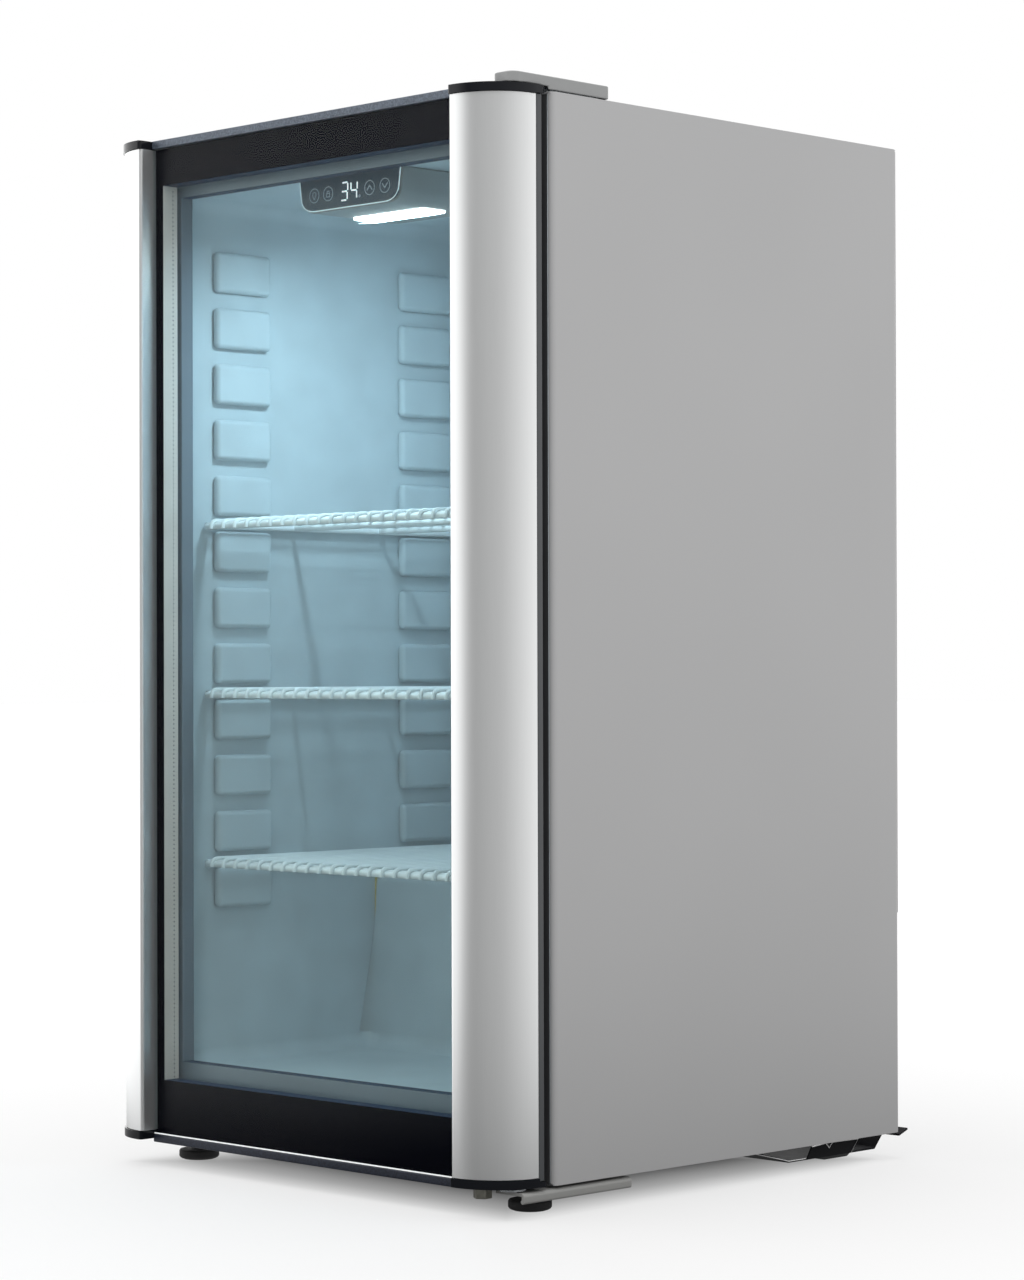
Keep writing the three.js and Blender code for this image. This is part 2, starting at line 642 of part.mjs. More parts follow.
function addGrommets() {
  const { x, y, radius, bottom } = compressor;
  const height = [bottom + gap, bottom + gap + mounting.grommet];
  const corners = [[-1, -1], [-1, 1], [1, -1], [1, 1]];
  corners.forEach(([sideX, sideY], i) => {
    const place = [x + sideX * (radius + mounting.outset), y + sideY * mounting.spread];
    addPiece(`compressor_grommet_${i + 1}`, rod(...place, height, mounting.radius, 16), blackRubber);
  });
}

function addDripTray() {
  const { x, y } = compressor;
  const { halfWidth, halfDepth, bottom, height, wall } = tray;
  const block = rectangle(span(halfWidth, x), span(halfDepth, y), tray.round);
  const well = rectangle(span(halfWidth - wall, x), span(halfDepth - wall, y), tray.round - wall);
  const hollow = riseZ(well, [bottom + wall, bottom + height + 1]);
  const solid = cut(riseZ(block, [bottom, bottom + height]), [hollow]);
  addPiece('drip_tray', solid, blackPlastic);
}

function addFilterDrier() {
  const { x, y, bottom, length, neck, body, shoulder } = filterDrier;
  const ends = [neck + 7, length - neck - 7];
  const filter = turned([
    [0, 0], [neck, 0], [neck, ends[0]], [body, ends[0] + shoulder], [body, ends[1] - shoulder],
    [neck, ends[1]], [neck, length], [0, length],
  ], 16);
  addPiece('filter_drier', filter.translate(x, y, bottom), copper);
}

function addPipes() {
  const { y, bottom } = compressor;
  const edge = compressor.x - compressor.radius;
  const top = machine.top - sheet - 1;
  const column = edge - suction.column;
  const suctionPath = [
    [edge - 1, y, bottom + 80], [edge - 25, y, bottom + 80], [column, y + 4, bottom + 100],
    [column, y + 4, bottom + 150], [column, y + 4, top],
  ];
  addPiece('suction_pipe', pipe(suctionPath, suction.radius, 24), copper);
  const { y: rear, column: far } = discharge;
  const dischargePath = [
    [edge + 3, rear, bottom + 50], [edge - 30, rear - 4, bottom + 44], [far + 70, rear, bottom + 40],
    [far + 20, rear, bottom + 50], [far, rear, bottom + 80], [far, rear, top],
  ];
  addPiece('discharge_pipe', pipe(dischargePath, discharge.radius, 28, 6), copper);
}

// A grommet in the base plate's rear edge that the supply lead enters by.
function addCordGland() {
  const { x, half, front, back, height, bore } = gland;
  const z = plateLip.high + basePlate.thick + gap;
  const block = boxShape(span(half, x), [front, back], [z, z + height]);
  const hole = runY(circle(x, z + height / 2, bore), [front - 1, back + 1]);
  addPiece('cord_gland', cut(block, [hole]), blackPlastic);
}

// ---------------------------------------------------------------- cold air, lamp and controls

function addAirDuct() {
  const { halfWidth, bottom, top, front, wall } = duct;
  const back = inside.back - gap;
  const through = [front - 1, front + wall + 1];
  const block = boxShape(span(halfWidth), [front, back], [bottom, top]);
  const hollow = boxShape(span(halfWidth - wall), [front + wall, back + 1], [bottom + wall, top - wall]);
  const mouth = runY(circle(0, fan.z, fan.radius), through, 16);
  const slots = ductSlots.heights.map(
    (z) => boxShape(span(ductSlots.halfWidth), through, span(ductSlots.halfHeight, z)),
  );
  addPiece('air_duct_cover', cut(block, [hollow, mouth, ...slots]), whiteLiner);
}

function addColdPlate() {
  const front = inside.back - coldPlate.behind - coldPlate.thick;
  const depth = [front, front + coldPlate.thick];
  const plate = boxShape(span(coldPlate.halfWidth), depth, [coldPlate.bottom, coldPlate.top]);
  addPiece('evaporator_plate', plate, bareAluminium);
  const { x, y, bottom, radius, length } = probe;
  const sensor = turned([[0, 0], [radius, 0], [radius, length - radius], [0, length]], 12);
  addPiece('temperature_probe', sensor.translate(x, y, bottom), blackPlastic);
}

function addFanGuard() {
  const { rings, wire, thick, spokes } = guard;
  const depth = [duct.front - gap - thick, duct.front - gap];
  const hoop = (radius) => withHoles(circle(0, 0, radius), [circle(0, 0, radius - wire)]);
  const hoops = rings.map((radius) => runY(hoop(radius), depth, 5));
  const bars = Array.from({ length: spokes }, (_, i) => (
    boxShape(span(rings[0] - 1), depth, span(wire / 2)).rotateY((i * Math.PI) / spokes)
  ));
  addPiece('fan_guard', join([...hoops, ...bars]).translate(0, 0, fan.z), whiteLiner);
}

function addFanRotor() {
  const { root, halfThick, halfDepth, twist } = bladeShape;
  const hub = runY(circle(0, 0, fan.hub), [fan.front, fan.back], 10);
  const middle = (fan.front + fan.back) / 2;
  const blades = Array.from({ length: fan.blades }, (_, i) => {
    const blade = boxShape([fan.hub - root, fan.tip], span(halfThick), span(halfDepth)).rotateX(twist);
    return blade.translate(0, middle, 0).rotateY((2 * Math.PI * i) / fan.blades);
  });
  addPiece('fan_rotor', join([hub, ...blades]).translate(0, 0, fan.z), blackPlastic);
}

function addFanMotor() {
  const front = fan.back + motor.clearance;
  const back = front + motor.depth;
  const body = runY(circle(0, 0, fan.hub + 2), [front, back], 10);
  const armX = span(fan.radius + motor.armReach);
  const arms = [1, 3].map((quarter) => (
    boxShape(armX, [front + motor.armFront, back], span(motor.armHalf)).rotateY((quarter * Math.PI) / 4)
  ));
  addPiece('fan_motor', join([body, ...arms]).translate(0, 0, fan.z), blackPlastic);
}

// The control housing's front outline: slightly tapered, with round lower corners.
function controlFace(margin) {
  const { x, halfWidth, bottomHalf, bottom } = control;
  const { corner, taper } = controlShell;
  const top = inside.ceiling - gap;
  const shape = new THREE.Shape();
  const half = halfWidth - margin;
  const low = bottom + margin;
  shape.moveTo(x - half, top);
  shape.lineTo(x - half + taper, bottom + corner);
  shape.quadraticCurveTo(x - bottomHalf - 2 * taper, low, x - bottomHalf + corner, low);
  shape.lineTo(x + bottomHalf - corner, low);
  shape.quadraticCurveTo(x + bottomHalf + 2 * taper, low, x + half - taper, bottom + corner);
  shape.lineTo(x + half, top);
  return shape;
}

function addControlUnit() {
  const { x, bottomHalf, front, back, bottom } = control;
  const { wall, face } = controlShell;
  const hollow = boxShape(
    span(bottomHalf - wall, x), [front + wall, back - wall], [bottom + wall, inside.ceiling],
  );
  const lampX = span(lamp.halfWidth, x);
  const lampHole = boxShape(lampX, [lamp.front, lamp.back], [bottom - 1, bottom + wall + 1]);
  addPiece('control_housing', cut(runY(controlFace(0), [front, back]), [hollow, lampHole]), greyPlastic);
  addPiece('control_panel', runY(controlFace(1), [front - face, front - gap]), slatePanel);
  const boardLow = bottom + wall + board.lift;
  const boardSolid = boxShape(lampX, [front + board.lift, lamp.back], [boardLow, boardLow + board.thick]);
  addPiece('control_board', boardSolid, circuitBoard);
}

function addLamp() {
  const { x, bottom } = control;
  const lensX = span(lamp.halfWidth - gap, x);
  const height = [bottom - lamp.drop, bottom + controlShell.wall];
  const lens = boxShape(lensX, [lamp.front + gap, lamp.back - gap], height);
  addPiece('lamp_lens', lens, lampLens);
}

// ---------------------------------------------------------------- build

addShell();
addInsulation();
addLiner();
['shelf_lower', 'shelf_middle', 'shelf_upper'].forEach((name, i) => addShelf(name, shelfSlots[i]));
addPillars();
addEndCaps();
addBushes();
addGlazing();
addDoorFrame();
addDoorTrims();
addGasket();
addTopHinge();
addHingeCover();
addBottomBracket();
addBottomPin();
addFrontFeet();
addBasePlate();
addRearFeet();
addCondenser();
addCompressor();
addGrommets();
addDripTray();
addFilterDrier();
addPipes();
addCordGland();
addAirDuct();
addColdPlate();
addFanGuard();
addFanRotor();
addFanMotor();
addControlUnit();
addLamp();

// Put the middle of the footprint at the origin.
const frontMost = door.front - endCap.overhang;
cooler.position.y = -(frontMost + plateLip.back) / 2;

export default cooler;
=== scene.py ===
"""A glass-door drinks cooler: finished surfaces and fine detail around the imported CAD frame.

Places are in the frame's own axes: the door faces -Y, the hinge is on +X and Z is up.
The camera and the studio are in metres, and the pieces are in millimetres.
"""

import itertools
import json
import math

import bmesh
import bpy
from mathutils import Matrix, Vector


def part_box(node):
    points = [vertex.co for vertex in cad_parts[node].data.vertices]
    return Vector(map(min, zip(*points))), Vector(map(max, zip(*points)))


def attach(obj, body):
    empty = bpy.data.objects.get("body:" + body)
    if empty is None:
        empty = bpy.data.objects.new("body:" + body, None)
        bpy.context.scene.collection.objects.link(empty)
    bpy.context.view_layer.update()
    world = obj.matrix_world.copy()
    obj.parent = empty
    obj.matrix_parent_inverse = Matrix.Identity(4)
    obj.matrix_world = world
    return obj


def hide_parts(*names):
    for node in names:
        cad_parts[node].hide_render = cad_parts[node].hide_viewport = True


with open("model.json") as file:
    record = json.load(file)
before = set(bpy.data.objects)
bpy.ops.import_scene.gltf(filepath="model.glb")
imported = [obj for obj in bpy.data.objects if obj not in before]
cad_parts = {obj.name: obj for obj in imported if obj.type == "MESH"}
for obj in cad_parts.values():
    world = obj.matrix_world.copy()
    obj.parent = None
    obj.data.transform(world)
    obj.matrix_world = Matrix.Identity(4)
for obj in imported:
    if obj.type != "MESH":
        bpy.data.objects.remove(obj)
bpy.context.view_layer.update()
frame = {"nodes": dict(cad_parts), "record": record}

MM = 0.001
SHARP = math.radians(30)
FLAT = math.radians(1)
TOUCHING = 0.001 * MM
JOINED = 0.01 * MM


# ------------------------------------------------------------------ camera

CAMERA_PLACE = (1917.7 * MM, -1910.3 * MM, 391.7 * MM)
CAMERA_YAW = 45.0
CAMERA_PITCH = 0.504
CAMERA_ROLL = -0.151
CAMERA_LENS = 95.17
SENSOR = 36.0


def add_camera():
    """The camera stands off the cooler's front right corner, level with the middle of the door."""
    data = bpy.data.cameras.new("camera")
    data.sensor_width = SENSOR
    data.lens = CAMERA_LENS
    camera = bpy.data.objects.new("camera", data)
    turn = Matrix.Rotation(math.radians(CAMERA_YAW), 4, "Z")
    turn = turn @ Matrix.Rotation(math.radians(90 + CAMERA_PITCH), 4, "X")
    turn = turn @ Matrix.Rotation(math.radians(CAMERA_ROLL), 4, "Z")
    camera.matrix_world = Matrix.Translation(CAMERA_PLACE) @ turn
    bpy.context.scene.collection.objects.link(camera)
    bpy.context.scene.camera = camera


# ------------------------------------------------------------------ shader nodes

WHITE = (1, 1, 1, 1)


def grey(value):
    """An opaque grey of a brightness."""
    return (value, value, value, 1)


def connect(tree, value, socket):
    """Feeds a socket from another socket, or sets it to a constant."""
    if isinstance(value, bpy.types.NodeSocket):
        tree.links.new(value, socket)
    else:
        socket.default_value = value


def calculated(tree, operation, first, second):
    """The result of a calculation on two values."""
    node = tree.nodes.new("ShaderNodeMath")
    node.operation = operation
    connect(tree, first, node.inputs[0])
    connect(tree, second, node.inputs[1])
    return node.outputs[0]


def scaled(tree, value, start, end, low=0.0, high=1.0):
    """A value that goes from low to high while another goes from start to end."""
    node = tree.nodes.new("ShaderNodeMapRange")
    node.inputs["From Min"].default_value = start
    node.inputs["From Max"].default_value = end
    node.inputs["To Min"].default_value = low
    node.inputs["To Max"].default_value = high
    connect(tree, value, node.inputs["Value"])
    return node.outputs["Result"]


def mixed_colour(tree, share, first, second):
    """A colour that goes from the first to the second as share goes from 0 to 1."""
    mix = tree.nodes.new("ShaderNodeMix")
    mix.data_type = "RGBA"
    connect(tree, share, mix.inputs["Factor"])
    connect(tree, first, mix.inputs["A"])
    connect(tree, second, mix.inputs["B"])
    return mix.outputs["Result"]


def mixed_shader(tree, share, first, second):
    """A shader that goes from the first to the second as share goes from 0 to 1."""
    mix = tree.nodes.new("ShaderNodeMixShader")
    connect(tree, share, mix.inputs["Fac"])
    connect(tree, first, mix.inputs[1])
    connect(tree, second, mix.inputs[2])
    return mix.outputs[0]


def grey_ramp(tree, share, stops):
    """A grey that follows (share, brightness) stops."""
    ramp = tree.nodes.new("ShaderNodeValToRGB")
    elements = ramp.color_ramp.elements
    while len(elements) < len(stops):
        elements.new(0.5)
    for element, (position, value) in zip(elements, stops):
        element.position = position
        element.color = grey(value)
    connect(tree, share, ramp.inputs["Fac"])
    return ramp.outputs["Color"]


def parts_of(tree, vector):
    """A node whose outputs are a vector's X, Y and Z."""
    split = tree.nodes.new("ShaderNodeSeparateXYZ")
    tree.links.new(vector, split.inputs[0])
    return split


def kind_of_ray(tree, kind):
    """1 for rays of a kind, such as Camera or Glossy, and 0 for the others."""
    return tree.nodes.new("ShaderNodeLightPath").outputs[f"Is {kind} Ray"]


# ------------------------------------------------------------------ studio

# How bright the studio looks in reflections: (degrees from straight in front towards +X, brightness).
STUDIO_WALLS = [
    (-180, 1.6), (-70, 1.7), (-46, 1.6), (-31, 1.5), (-9, 0.17), (20, 0.37),
    (50, 0.44), (80, 0.68), (112, 0.92), (150, 1.2), (180, 1.6),
]
# The brightness that lights matt surfaces, the same from every side.
EVEN_LIGHT = 0.84
# The walls fade into a white ceiling between these heights of a direction one unit long.
CEILING_START, CEILING_FULL = 0.25, 0.9
# How the floor glows towards the camera, dimmed round the cooler as a painted shadow: (metres outwards from
# the square under the cooler, strength).
FLOOR_GLOW = [(0.0, 0.08), (0.055, 0.35), (0.095, 0.67), (0.3, 0.7), (1.6, 0.83)]
SQUARE_HALF = 0.12
# In reflections the floor brightens between these distances from the cooler's middle; the dimmer floor near
# it is painted shade.
BRIGHTEN_START, BRIGHTEN_END = 0.45, 0.9
NEAR_SHARE = 0.26
FLOOR_SIZE = 60
OVERHEAD = {"place": (-0.3, -0.6, 3.2), "target": (0, 0, 0), "size": (3.0, 3.0), "power": 45}


def add_area(name, place, target, size, power, colour=(1, 1, 1)):
    """A rectangular light at a place, shining at a target."""
    data = bpy.data.lights.new(name, "AREA")
    data.shape = "RECTANGLE"
    data.size, data.size_y = size
    data.energy = power
    data.color = colour
    light = bpy.data.objects.new(name, data)
    light.location = place
    light.rotation_mode = "QUATERNION"
    light.rotation_quaternion = (Vector(target) - Vector(place)).to_track_quat("-Z", "Y")
    bpy.context.scene.collection.objects.link(light)
    return light


def wall_brightness(tree, vector):
    """The studio's brightness in a direction, or round a place on the floor."""
    split = parts_of(tree, vector)
    forward = calculated(tree, "MULTIPLY", split.outputs["Y"], -1)
    turn = calculated(tree, "ARCTAN2", split.outputs["X"], forward)
    share = scaled(tree, turn, -math.pi, math.pi)
    walls = grey_ramp(tree, share, [((angle + 180) / 360, value) for angle, value in STUDIO_WALLS])
    return mixed_colour(tree, kind_of_ray(tree, "Glossy"), grey(EVEN_LIGHT), walls)


def add_world():
    """A studio that is darker in front of the cooler. The camera sees plain white past the floor."""
    world = bpy.data.worlds.new("studio")
    world.use_nodes = True
    tree = world.node_tree
    direction = tree.nodes.new("ShaderNodeTexCoord").outputs["Generated"]
    height = parts_of(tree, direction).outputs["Z"]
    ceiling = scaled(tree, height, CEILING_START, CEILING_FULL)
    studio = mixed_colour(tree, ceiling, wall_brightness(tree, direction), WHITE)
    seen = mixed_colour(tree, kind_of_ray(tree, "Camera"), studio, WHITE)
    tree.links.new(seen, tree.nodes["Background"].inputs["Color"])
    bpy.context.scene.world = world


def floor_glow(tree, place):
    """A strength that falls under the cooler and rises with the distance from it: a painted shadow on the
    floor.
    """
    size = tree.nodes.new("ShaderNodeVectorMath")
    size.operation = "ABSOLUTE"
    tree.links.new(place, size.inputs[0])
    split = parts_of(tree, size.outputs["Vector"])
    longest = calculated(tree, "MAXIMUM", split.outputs["X"], split.outputs["Y"])
    furthest = FLOOR_GLOW[-1][0]
    share = scaled(tree, longest, SQUARE_HALF, SQUARE_HALF + furthest)
    return grey_ramp(tree, share, [(distance / furthest, value) for distance, value in FLOOR_GLOW])


def floor_white():
    """A white sweep whose shadows stay light, with a painted shadow round the cooler. In reflections it is
    dimmer close to the cooler, a painted shade.
    """
    surface = Surface("floor_white", (0.2, 0.2, 0.2), 0.8)
    surface.pattern(tone=(400, 0.01))
    surface.set_shine(0.1)
    tree = surface.tree
    place = tree.nodes.new("ShaderNodeTexCoord").outputs["Object"]
    # The glow drops under the cooler: a painted shadow.
    surface.glow((1, 1, 1), floor_glow(tree, place))
    distance = tree.nodes.new("ShaderNodeVectorMath")
    distance.operation = "LENGTH"
    tree.links.new(place, distance.inputs[0])
    # Reflections of the floor near the cooler are dimmed: painted shade.
    reach = scaled(tree, distance.outputs["Value"], BRIGHTEN_START, BRIGHTEN_END, NEAR_SHARE, 1.0)
    reflected = tree.nodes.new("ShaderNodeEmission")
    tree.links.new(wall_brightness(tree, place), reflected.inputs["Color"])
    tree.links.new(reach, reflected.inputs["Strength"])
    camera = kind_of_ray(tree, "Camera")
    surface.finish_with(mixed_shader(tree, camera, reflected.outputs[0], surface.shader.outputs[0]))
    return surface.material


def add_studio():
    """The world, one large soft light overhead and the pale floor."""
    bpy.context.scene.view_settings.view_transform = "Standard"
    add_world()
    add_area("overhead_light", **OVERHEAD)
    bpy.ops.mesh.primitive_plane_add(size=FLOOR_SIZE)
    floor = bpy.context.object
    floor.name = "floor"
    floor.data.materials.append(floor_white())


# ------------------------------------------------------------------ materials

# Nearly all of a noise pattern's values lie between these two.
NOISE_LOW, NOISE_HIGH = 0.3, 0.7
EVEN_GRAIN = (1, 1, 1)
UPRIGHT_GRAIN = (1, 1, 0.02)


class Surface:
    """A Principled material whose colour, roughness and relief can follow patterns."""

    def __init__(self, name, colour, roughness, metallic=0.0):
        self.material = bpy.data.materials.new(name)
        self.material.use_nodes = True
        self.tree = self.material.node_tree
        self.shader = self.tree.nodes["Principled BSDF"]
        self.colour = colour
        self.roughness = roughness
        self.shader.inputs["Base Color"].default_value = (*colour, 1)
        self.shader.inputs["Roughness"].default_value = roughness
        self.shader.inputs["Metallic"].default_value = metallic

    def place(self, scale=EVEN_GRAIN):
        """The place on the piece, in metres, stretched along an axis by a scale below 1."""
        where = self.tree.nodes.new("ShaderNodeTexCoord")
        mapping = self.tree.nodes.new("ShaderNodeMapping")
        mapping.inputs["Scale"].default_value = scale
        self.tree.links.new(where.outputs["Object"], mapping.inputs["Vector"])
        return mapping.outputs["Vector"]

    def noise(self, size, scale=EVEN_GRAIN, detail=3.0):
        """Noise whose features are about size millimetres across."""
        node = self.tree.nodes.new("ShaderNodeTexNoise")
        node.inputs["Scale"].default_value = 1 / (size * MM)
        node.inputs["Detail"].default_value = detail
        self.tree.links.new(self.place(scale), node.inputs["Vector"])
        return node.outputs["Fac"]

    def vary_colour(self, factor, spread):
        """The colour goes from darker to lighter by spread as factor goes from low to high."""
        ramp = self.tree.nodes.new("ShaderNodeValToRGB")
        low, high = ramp.color_ramp.elements
        low.position, high.position = NOISE_LOW, NOISE_HIGH
        low.color = (*(c * (1 - spread) for c in self.colour), 1)
        high.color = (*(min(1, c * (1 + spread)) for c in self.colour), 1)
        self.tree.links.new(factor, ramp.inputs["Fac"])
        self.tree.links.new(ramp.outputs["Color"], self.shader.inputs["Base Color"])

    def vary_roughness(self, factor, spread):
        """The roughness goes from lower to higher by spread as factor goes from 0 to 1."""
        lowest = max(0, self.roughness - spread)
        varied = scaled(self.tree, factor, 0, 1, lowest, self.roughness + spread)
        self.tree.links.new(varied, self.shader.inputs["Roughness"])

    def relief(self, height, strength, depth):
        """Bumps that are depth millimetres deep where height goes from 0 to 1."""
        bump = self.tree.nodes.new("ShaderNodeBump")
        bump.inputs["Strength"].default_value = strength
        bump.inputs["Distance"].default_value = depth * MM
        self.tree.links.new(height, bump.inputs["Height"])
        self.tree.links.new(bump.outputs["Normal"], self.shader.inputs["Normal"])

    def pattern(self, tone=None, wear=None, bumps=None, streak=EVEN_GRAIN):
        """Noise over the surface: tone and wear as (size, spread), bumps as (size, strength, depth)."""
        if tone:
            self.vary_colour(self.noise(tone[0], streak), tone[1])
        if wear:
            self.vary_roughness(self.noise(wear[0], streak), wear[1])
        if bumps:
            self.relief(self.noise(bumps[0], streak), *bumps[1:])
        return self.material

    def set_shine(self, shine):
        """How strongly the surface mirrors: 0.5 is usual for plastic and paint."""
        self.shader.inputs["Specular IOR Level"].default_value = shine

    def glow(self, colour, strength):
        """Light given off, whose strength may follow a pattern."""
        self.shader.inputs["Emission Color"].default_value = (*colour, 1)
        connect(self.tree, strength, self.shader.inputs["Emission Strength"])

    def finish_with(self, shader):
        """Uses another shader, which mixes in the Principled one, for the whole surface."""
        self.tree.links.new(shader, self.tree.nodes["Material Output"].inputs["Surface"])


def painted(name, colour, roughness, grain=1.6, relief=0.05):
    """Powder paint: a fine orange peel and slow, faint changes of tone."""
    surface = Surface(name, colour, roughness)
    return surface.pattern(tone=(240, 0.02), wear=(60, 0.04), bumps=(grain, 0.25, relief))


def moulded(name, colour, roughness, grain=0.7, relief=0.03, shine=0.5):
    """Moulded plastic with a fine matt texture and rubbed, shinier patches."""
    surface = Surface(name, colour, roughness)
    surface.set_shine(shine)
    return surface.pattern(tone=(35, 0.05), wear=(18, 0.07), bumps=(grain, 0.3, relief))


def glossy(name, colour, roughness=0.12, shine=0.25):
    """Polished plastic or print, with a faint waviness."""
    surface = Surface(name, colour, roughness)
    surface.set_shine(shine)
    return surface.pattern(tone=(50, 0.08), wear=(22, 0.03), bumps=(9, 0.06, 0.04))


def speckled(name, colour, roughness, speck=1.1, spread=0.45):
    """Gloss paint with a fine metallic speckle."""
    surface = Surface(name, colour, roughness, metallic=0.3)
    surface.vary_colour(surface.noise(speck, detail=1.0), spread)
    return surface.pattern(wear=(8, 0.06), bumps=(speck, 0.2, 0.03))


def rubber(name, colour, roughness):
    """Rubber with a dusty bloom."""
    surface = Surface(name, colour, roughness)
    return surface.pattern(tone=(12, 0.2), wear=(6, 0.1), bumps=(0.8, 0.4, 0.05))


def metal(name, colour, roughness, streak=UPRIGHT_GRAIN, size=1.2, spread=0.05, relief=0.01):
    """Metal with fine streaks: the pattern is drawn out along the axis with the smallest scale."""
    surface = Surface(name, colour, roughness, metallic=1.0)
    return surface.pattern((size, spread), (0.7 * size, 0.06), (0.5 * size, 0.25, relief), streak)


def anodised(name, colour, roughness):
    """Satin anodising: nearly diffuse, with a very faint grain along Z."""
    surface = Surface(name, colour, roughness, metallic=0.82)
    surface.pattern(tone=(0.8, 0.008), wear=(0.8, 0.02), streak=UPRIGHT_GRAIN)
    return surface.pattern(bumps=(0.5, 0.06, 0.004), streak=(1, 1, 0.03))


def spangled(name, colour, roughness, crystal=6.0):
    """Zinc-coated sheet: pale crystals a few millimetres across."""
    surface = Surface(name, colour, roughness, metallic=0.9)
    tree = surface.tree
    cells = tree.nodes.new("ShaderNodeTexVoronoi")
    cells.inputs["Scale"].default_value = 1 / (crystal * MM)
    tree.links.new(surface.place(), cells.inputs["Vector"])
    tones = tree.nodes.new("ShaderNodeSeparateColor")
    tree.links.new(cells.outputs["Color"], tones.inputs["Color"])
    surface.vary_colour(tones.outputs["Red"], spread=0.14)
    surface.vary_roughness(tones.outputs["Green"], spread=0.08)
    return surface.pattern(bumps=(2, 0.2, 0.02))


def tarnished(name, colour, roughness):
    """Drawn tube, stained in patches."""
    surface = Surface(name, colour, roughness, metallic=1.0)
    return surface.pattern(tone=(9, 0.22), wear=(5, 0.12), bumps=(1.5, 0.15, 0.02))


def open_foam(name, colour, roughness):
    """Foam with open cells on its cut faces."""
    surface = Surface(name, colour, roughness)
    surface.relief(surface.noise(1.2, detail=6), 0.8, 0.5)
    return surface.pattern(tone=(3, 0.2))


def glowing(name, colour, strength, roughness=0.4):
    """A surface that gives light of its own colour."""
    surface = Surface(name, colour, roughness)
    surface.glow(colour, strength)
    return surface.pattern(wear=(5, 0.05))


def clear_glass(name, colour, tint, bending):
    """Float glass. It lets the light that lights matt surfaces straight through, dimmed by a tint."""
    surface = Surface(name, colour, 0.0)
    surface.shader.inputs["Transmission Weight"].default_value = 1.0
    surface.shader.inputs["IOR"].default_value = bending
    tree = surface.tree
    lighting = calculated(tree, "MAXIMUM", kind_of_ray(tree, "Shadow"), kind_of_ray(tree, "Diffuse"))
    through = tree.nodes.new("ShaderNodeBsdfTransparent")
    through.inputs["Color"].default_value = tint
    surface.finish_with(mixed_shader(tree, lighting, surface.shader.outputs[0], through.outputs[0]))
    return surface.material


MATERIALS = {
    "painted_steel": painted("cabinet_grey_paint", (0.45, 0.45, 0.453), 0.42),
    "galvanised_steel": spangled("galvanised_sheet", (0.46, 0.47, 0.48), 0.42),
    "foam": open_foam("insulating_foam", (0.72, 0.6, 0.3), 0.9),
    "liner_plastic": moulded("liner_moulding", (0.58, 0.65, 0.69), 0.32, grain=2.5, relief=0.04),
    "coated_wire": moulded("white_wire_coating", (0.93, 0.96, 0.98), 0.25, grain=2.0, relief=0.06),
    "anodised_aluminium": anodised("anodised_pillar", (0.8, 0.81, 0.81), 0.36),
    "black_gloss": glossy("polished_black", (0.009, 0.01, 0.013)),
    "black_plastic": moulded("black_moulding", (0.018, 0.019, 0.021), 0.45),
    "door_glass": clear_glass("float_glass", (0.93, 0.975, 0.965), (0.86, 0.9, 0.91, 1), bending=1.12),
    "bare_aluminium": metal("mill_aluminium", (0.7, 0.72, 0.72), 0.42),
    "black_rubber": rubber("black_rubber", (0.02, 0.02, 0.021), 0.7),
    "zinc_steel": metal("bright_zinc", (0.68, 0.71, 0.74), 0.26, EVEN_GRAIN, 4.0, spread=0.12, relief=0.02),
    "grey_plastic": moulded("light_grey_moulding", (0.31, 0.315, 0.315), 0.5),
    "painted_bracket": painted("bracket_paint", (0.31, 0.31, 0.3), 0.38),
    "copper": tarnished("drawn_copper", (0.66, 0.32, 0.19), 0.3),
    "compressor_paint": painted("black_enamel", (0.014, 0.014, 0.016), 0.3, grain=2.4, relief=0.12),
    "white_plastic": moulded("white_moulding", (0.76, 0.81, 0.85), 0.35),
    "touch_panel": glossy("slate_face", (0.035, 0.065, 0.1), 0.3),
    "lamp_diffuser": glowing("lamp_diffuser", (0.86, 0.95, 1.0), 9.0),
    "circuit_board": moulded("solder_mask", (0.015, 0.11, 0.05), 0.3),
}
MARK_LIT = glowing("display_white", (0.9, 0.96, 1.0), 0.9)
MARK_FAINT = glowing("display_faint", (0.36, 0.44, 0.52), 0.15)
FRIT = glossy("black_glass_print", (0.004, 0.004, 0.007), 0.3, shine=0.0)
NAVY = moulded("navy_frame_face", (0.19, 0.22, 0.26), 0.4)
# The top trim is the bottom trim's dark speckled blue made lighter; the extra lightness is a painted
# reflection of the light it faces.
TRIM_TOP_PAINTED_REFLECTION = speckled("trim_top_painted_reflection", (0.085, 0.105, 0.135), 0.4)
TRIM_BOTTOM = speckled("dark_blue_trim", (0.02, 0.025, 0.04), 0.35)
SPACER = moulded("spacer_face", (0.72, 0.66, 0.6), 0.35)
# The frame's outer sides in near black: painted shade in the narrow gap beside the cabinet.
DOOR_SIDE_PAINTED_SHADE = moulded("door_side_painted_shade", (0.06, 0.065, 0.07), 0.4)
# The tops and bottoms of the spacer and frame in a darker navy: painted shade.
NAVY_PAINTED_SHADE = moulded("navy_face_painted_shade", (0.025, 0.045, 0.085), 0.5, shine=0.04)
# The control panel's grey rim glows: painted light.
PANEL_RIM_PAINTED_LIGHT = glowing("panel_rim", (0.8, 0.88, 0.92), 0.35)
BASE_DARK = moulded("dark_base_plate", (0.016, 0.016, 0.018), 0.6, shine=0.06)
# A dark strip on the cabinet's front: painted shade in the gap behind the door.
FRONT_SHADE_STRIP = moulded("front_strip_painted_shade", (0.07, 0.07, 0.072), 0.5)
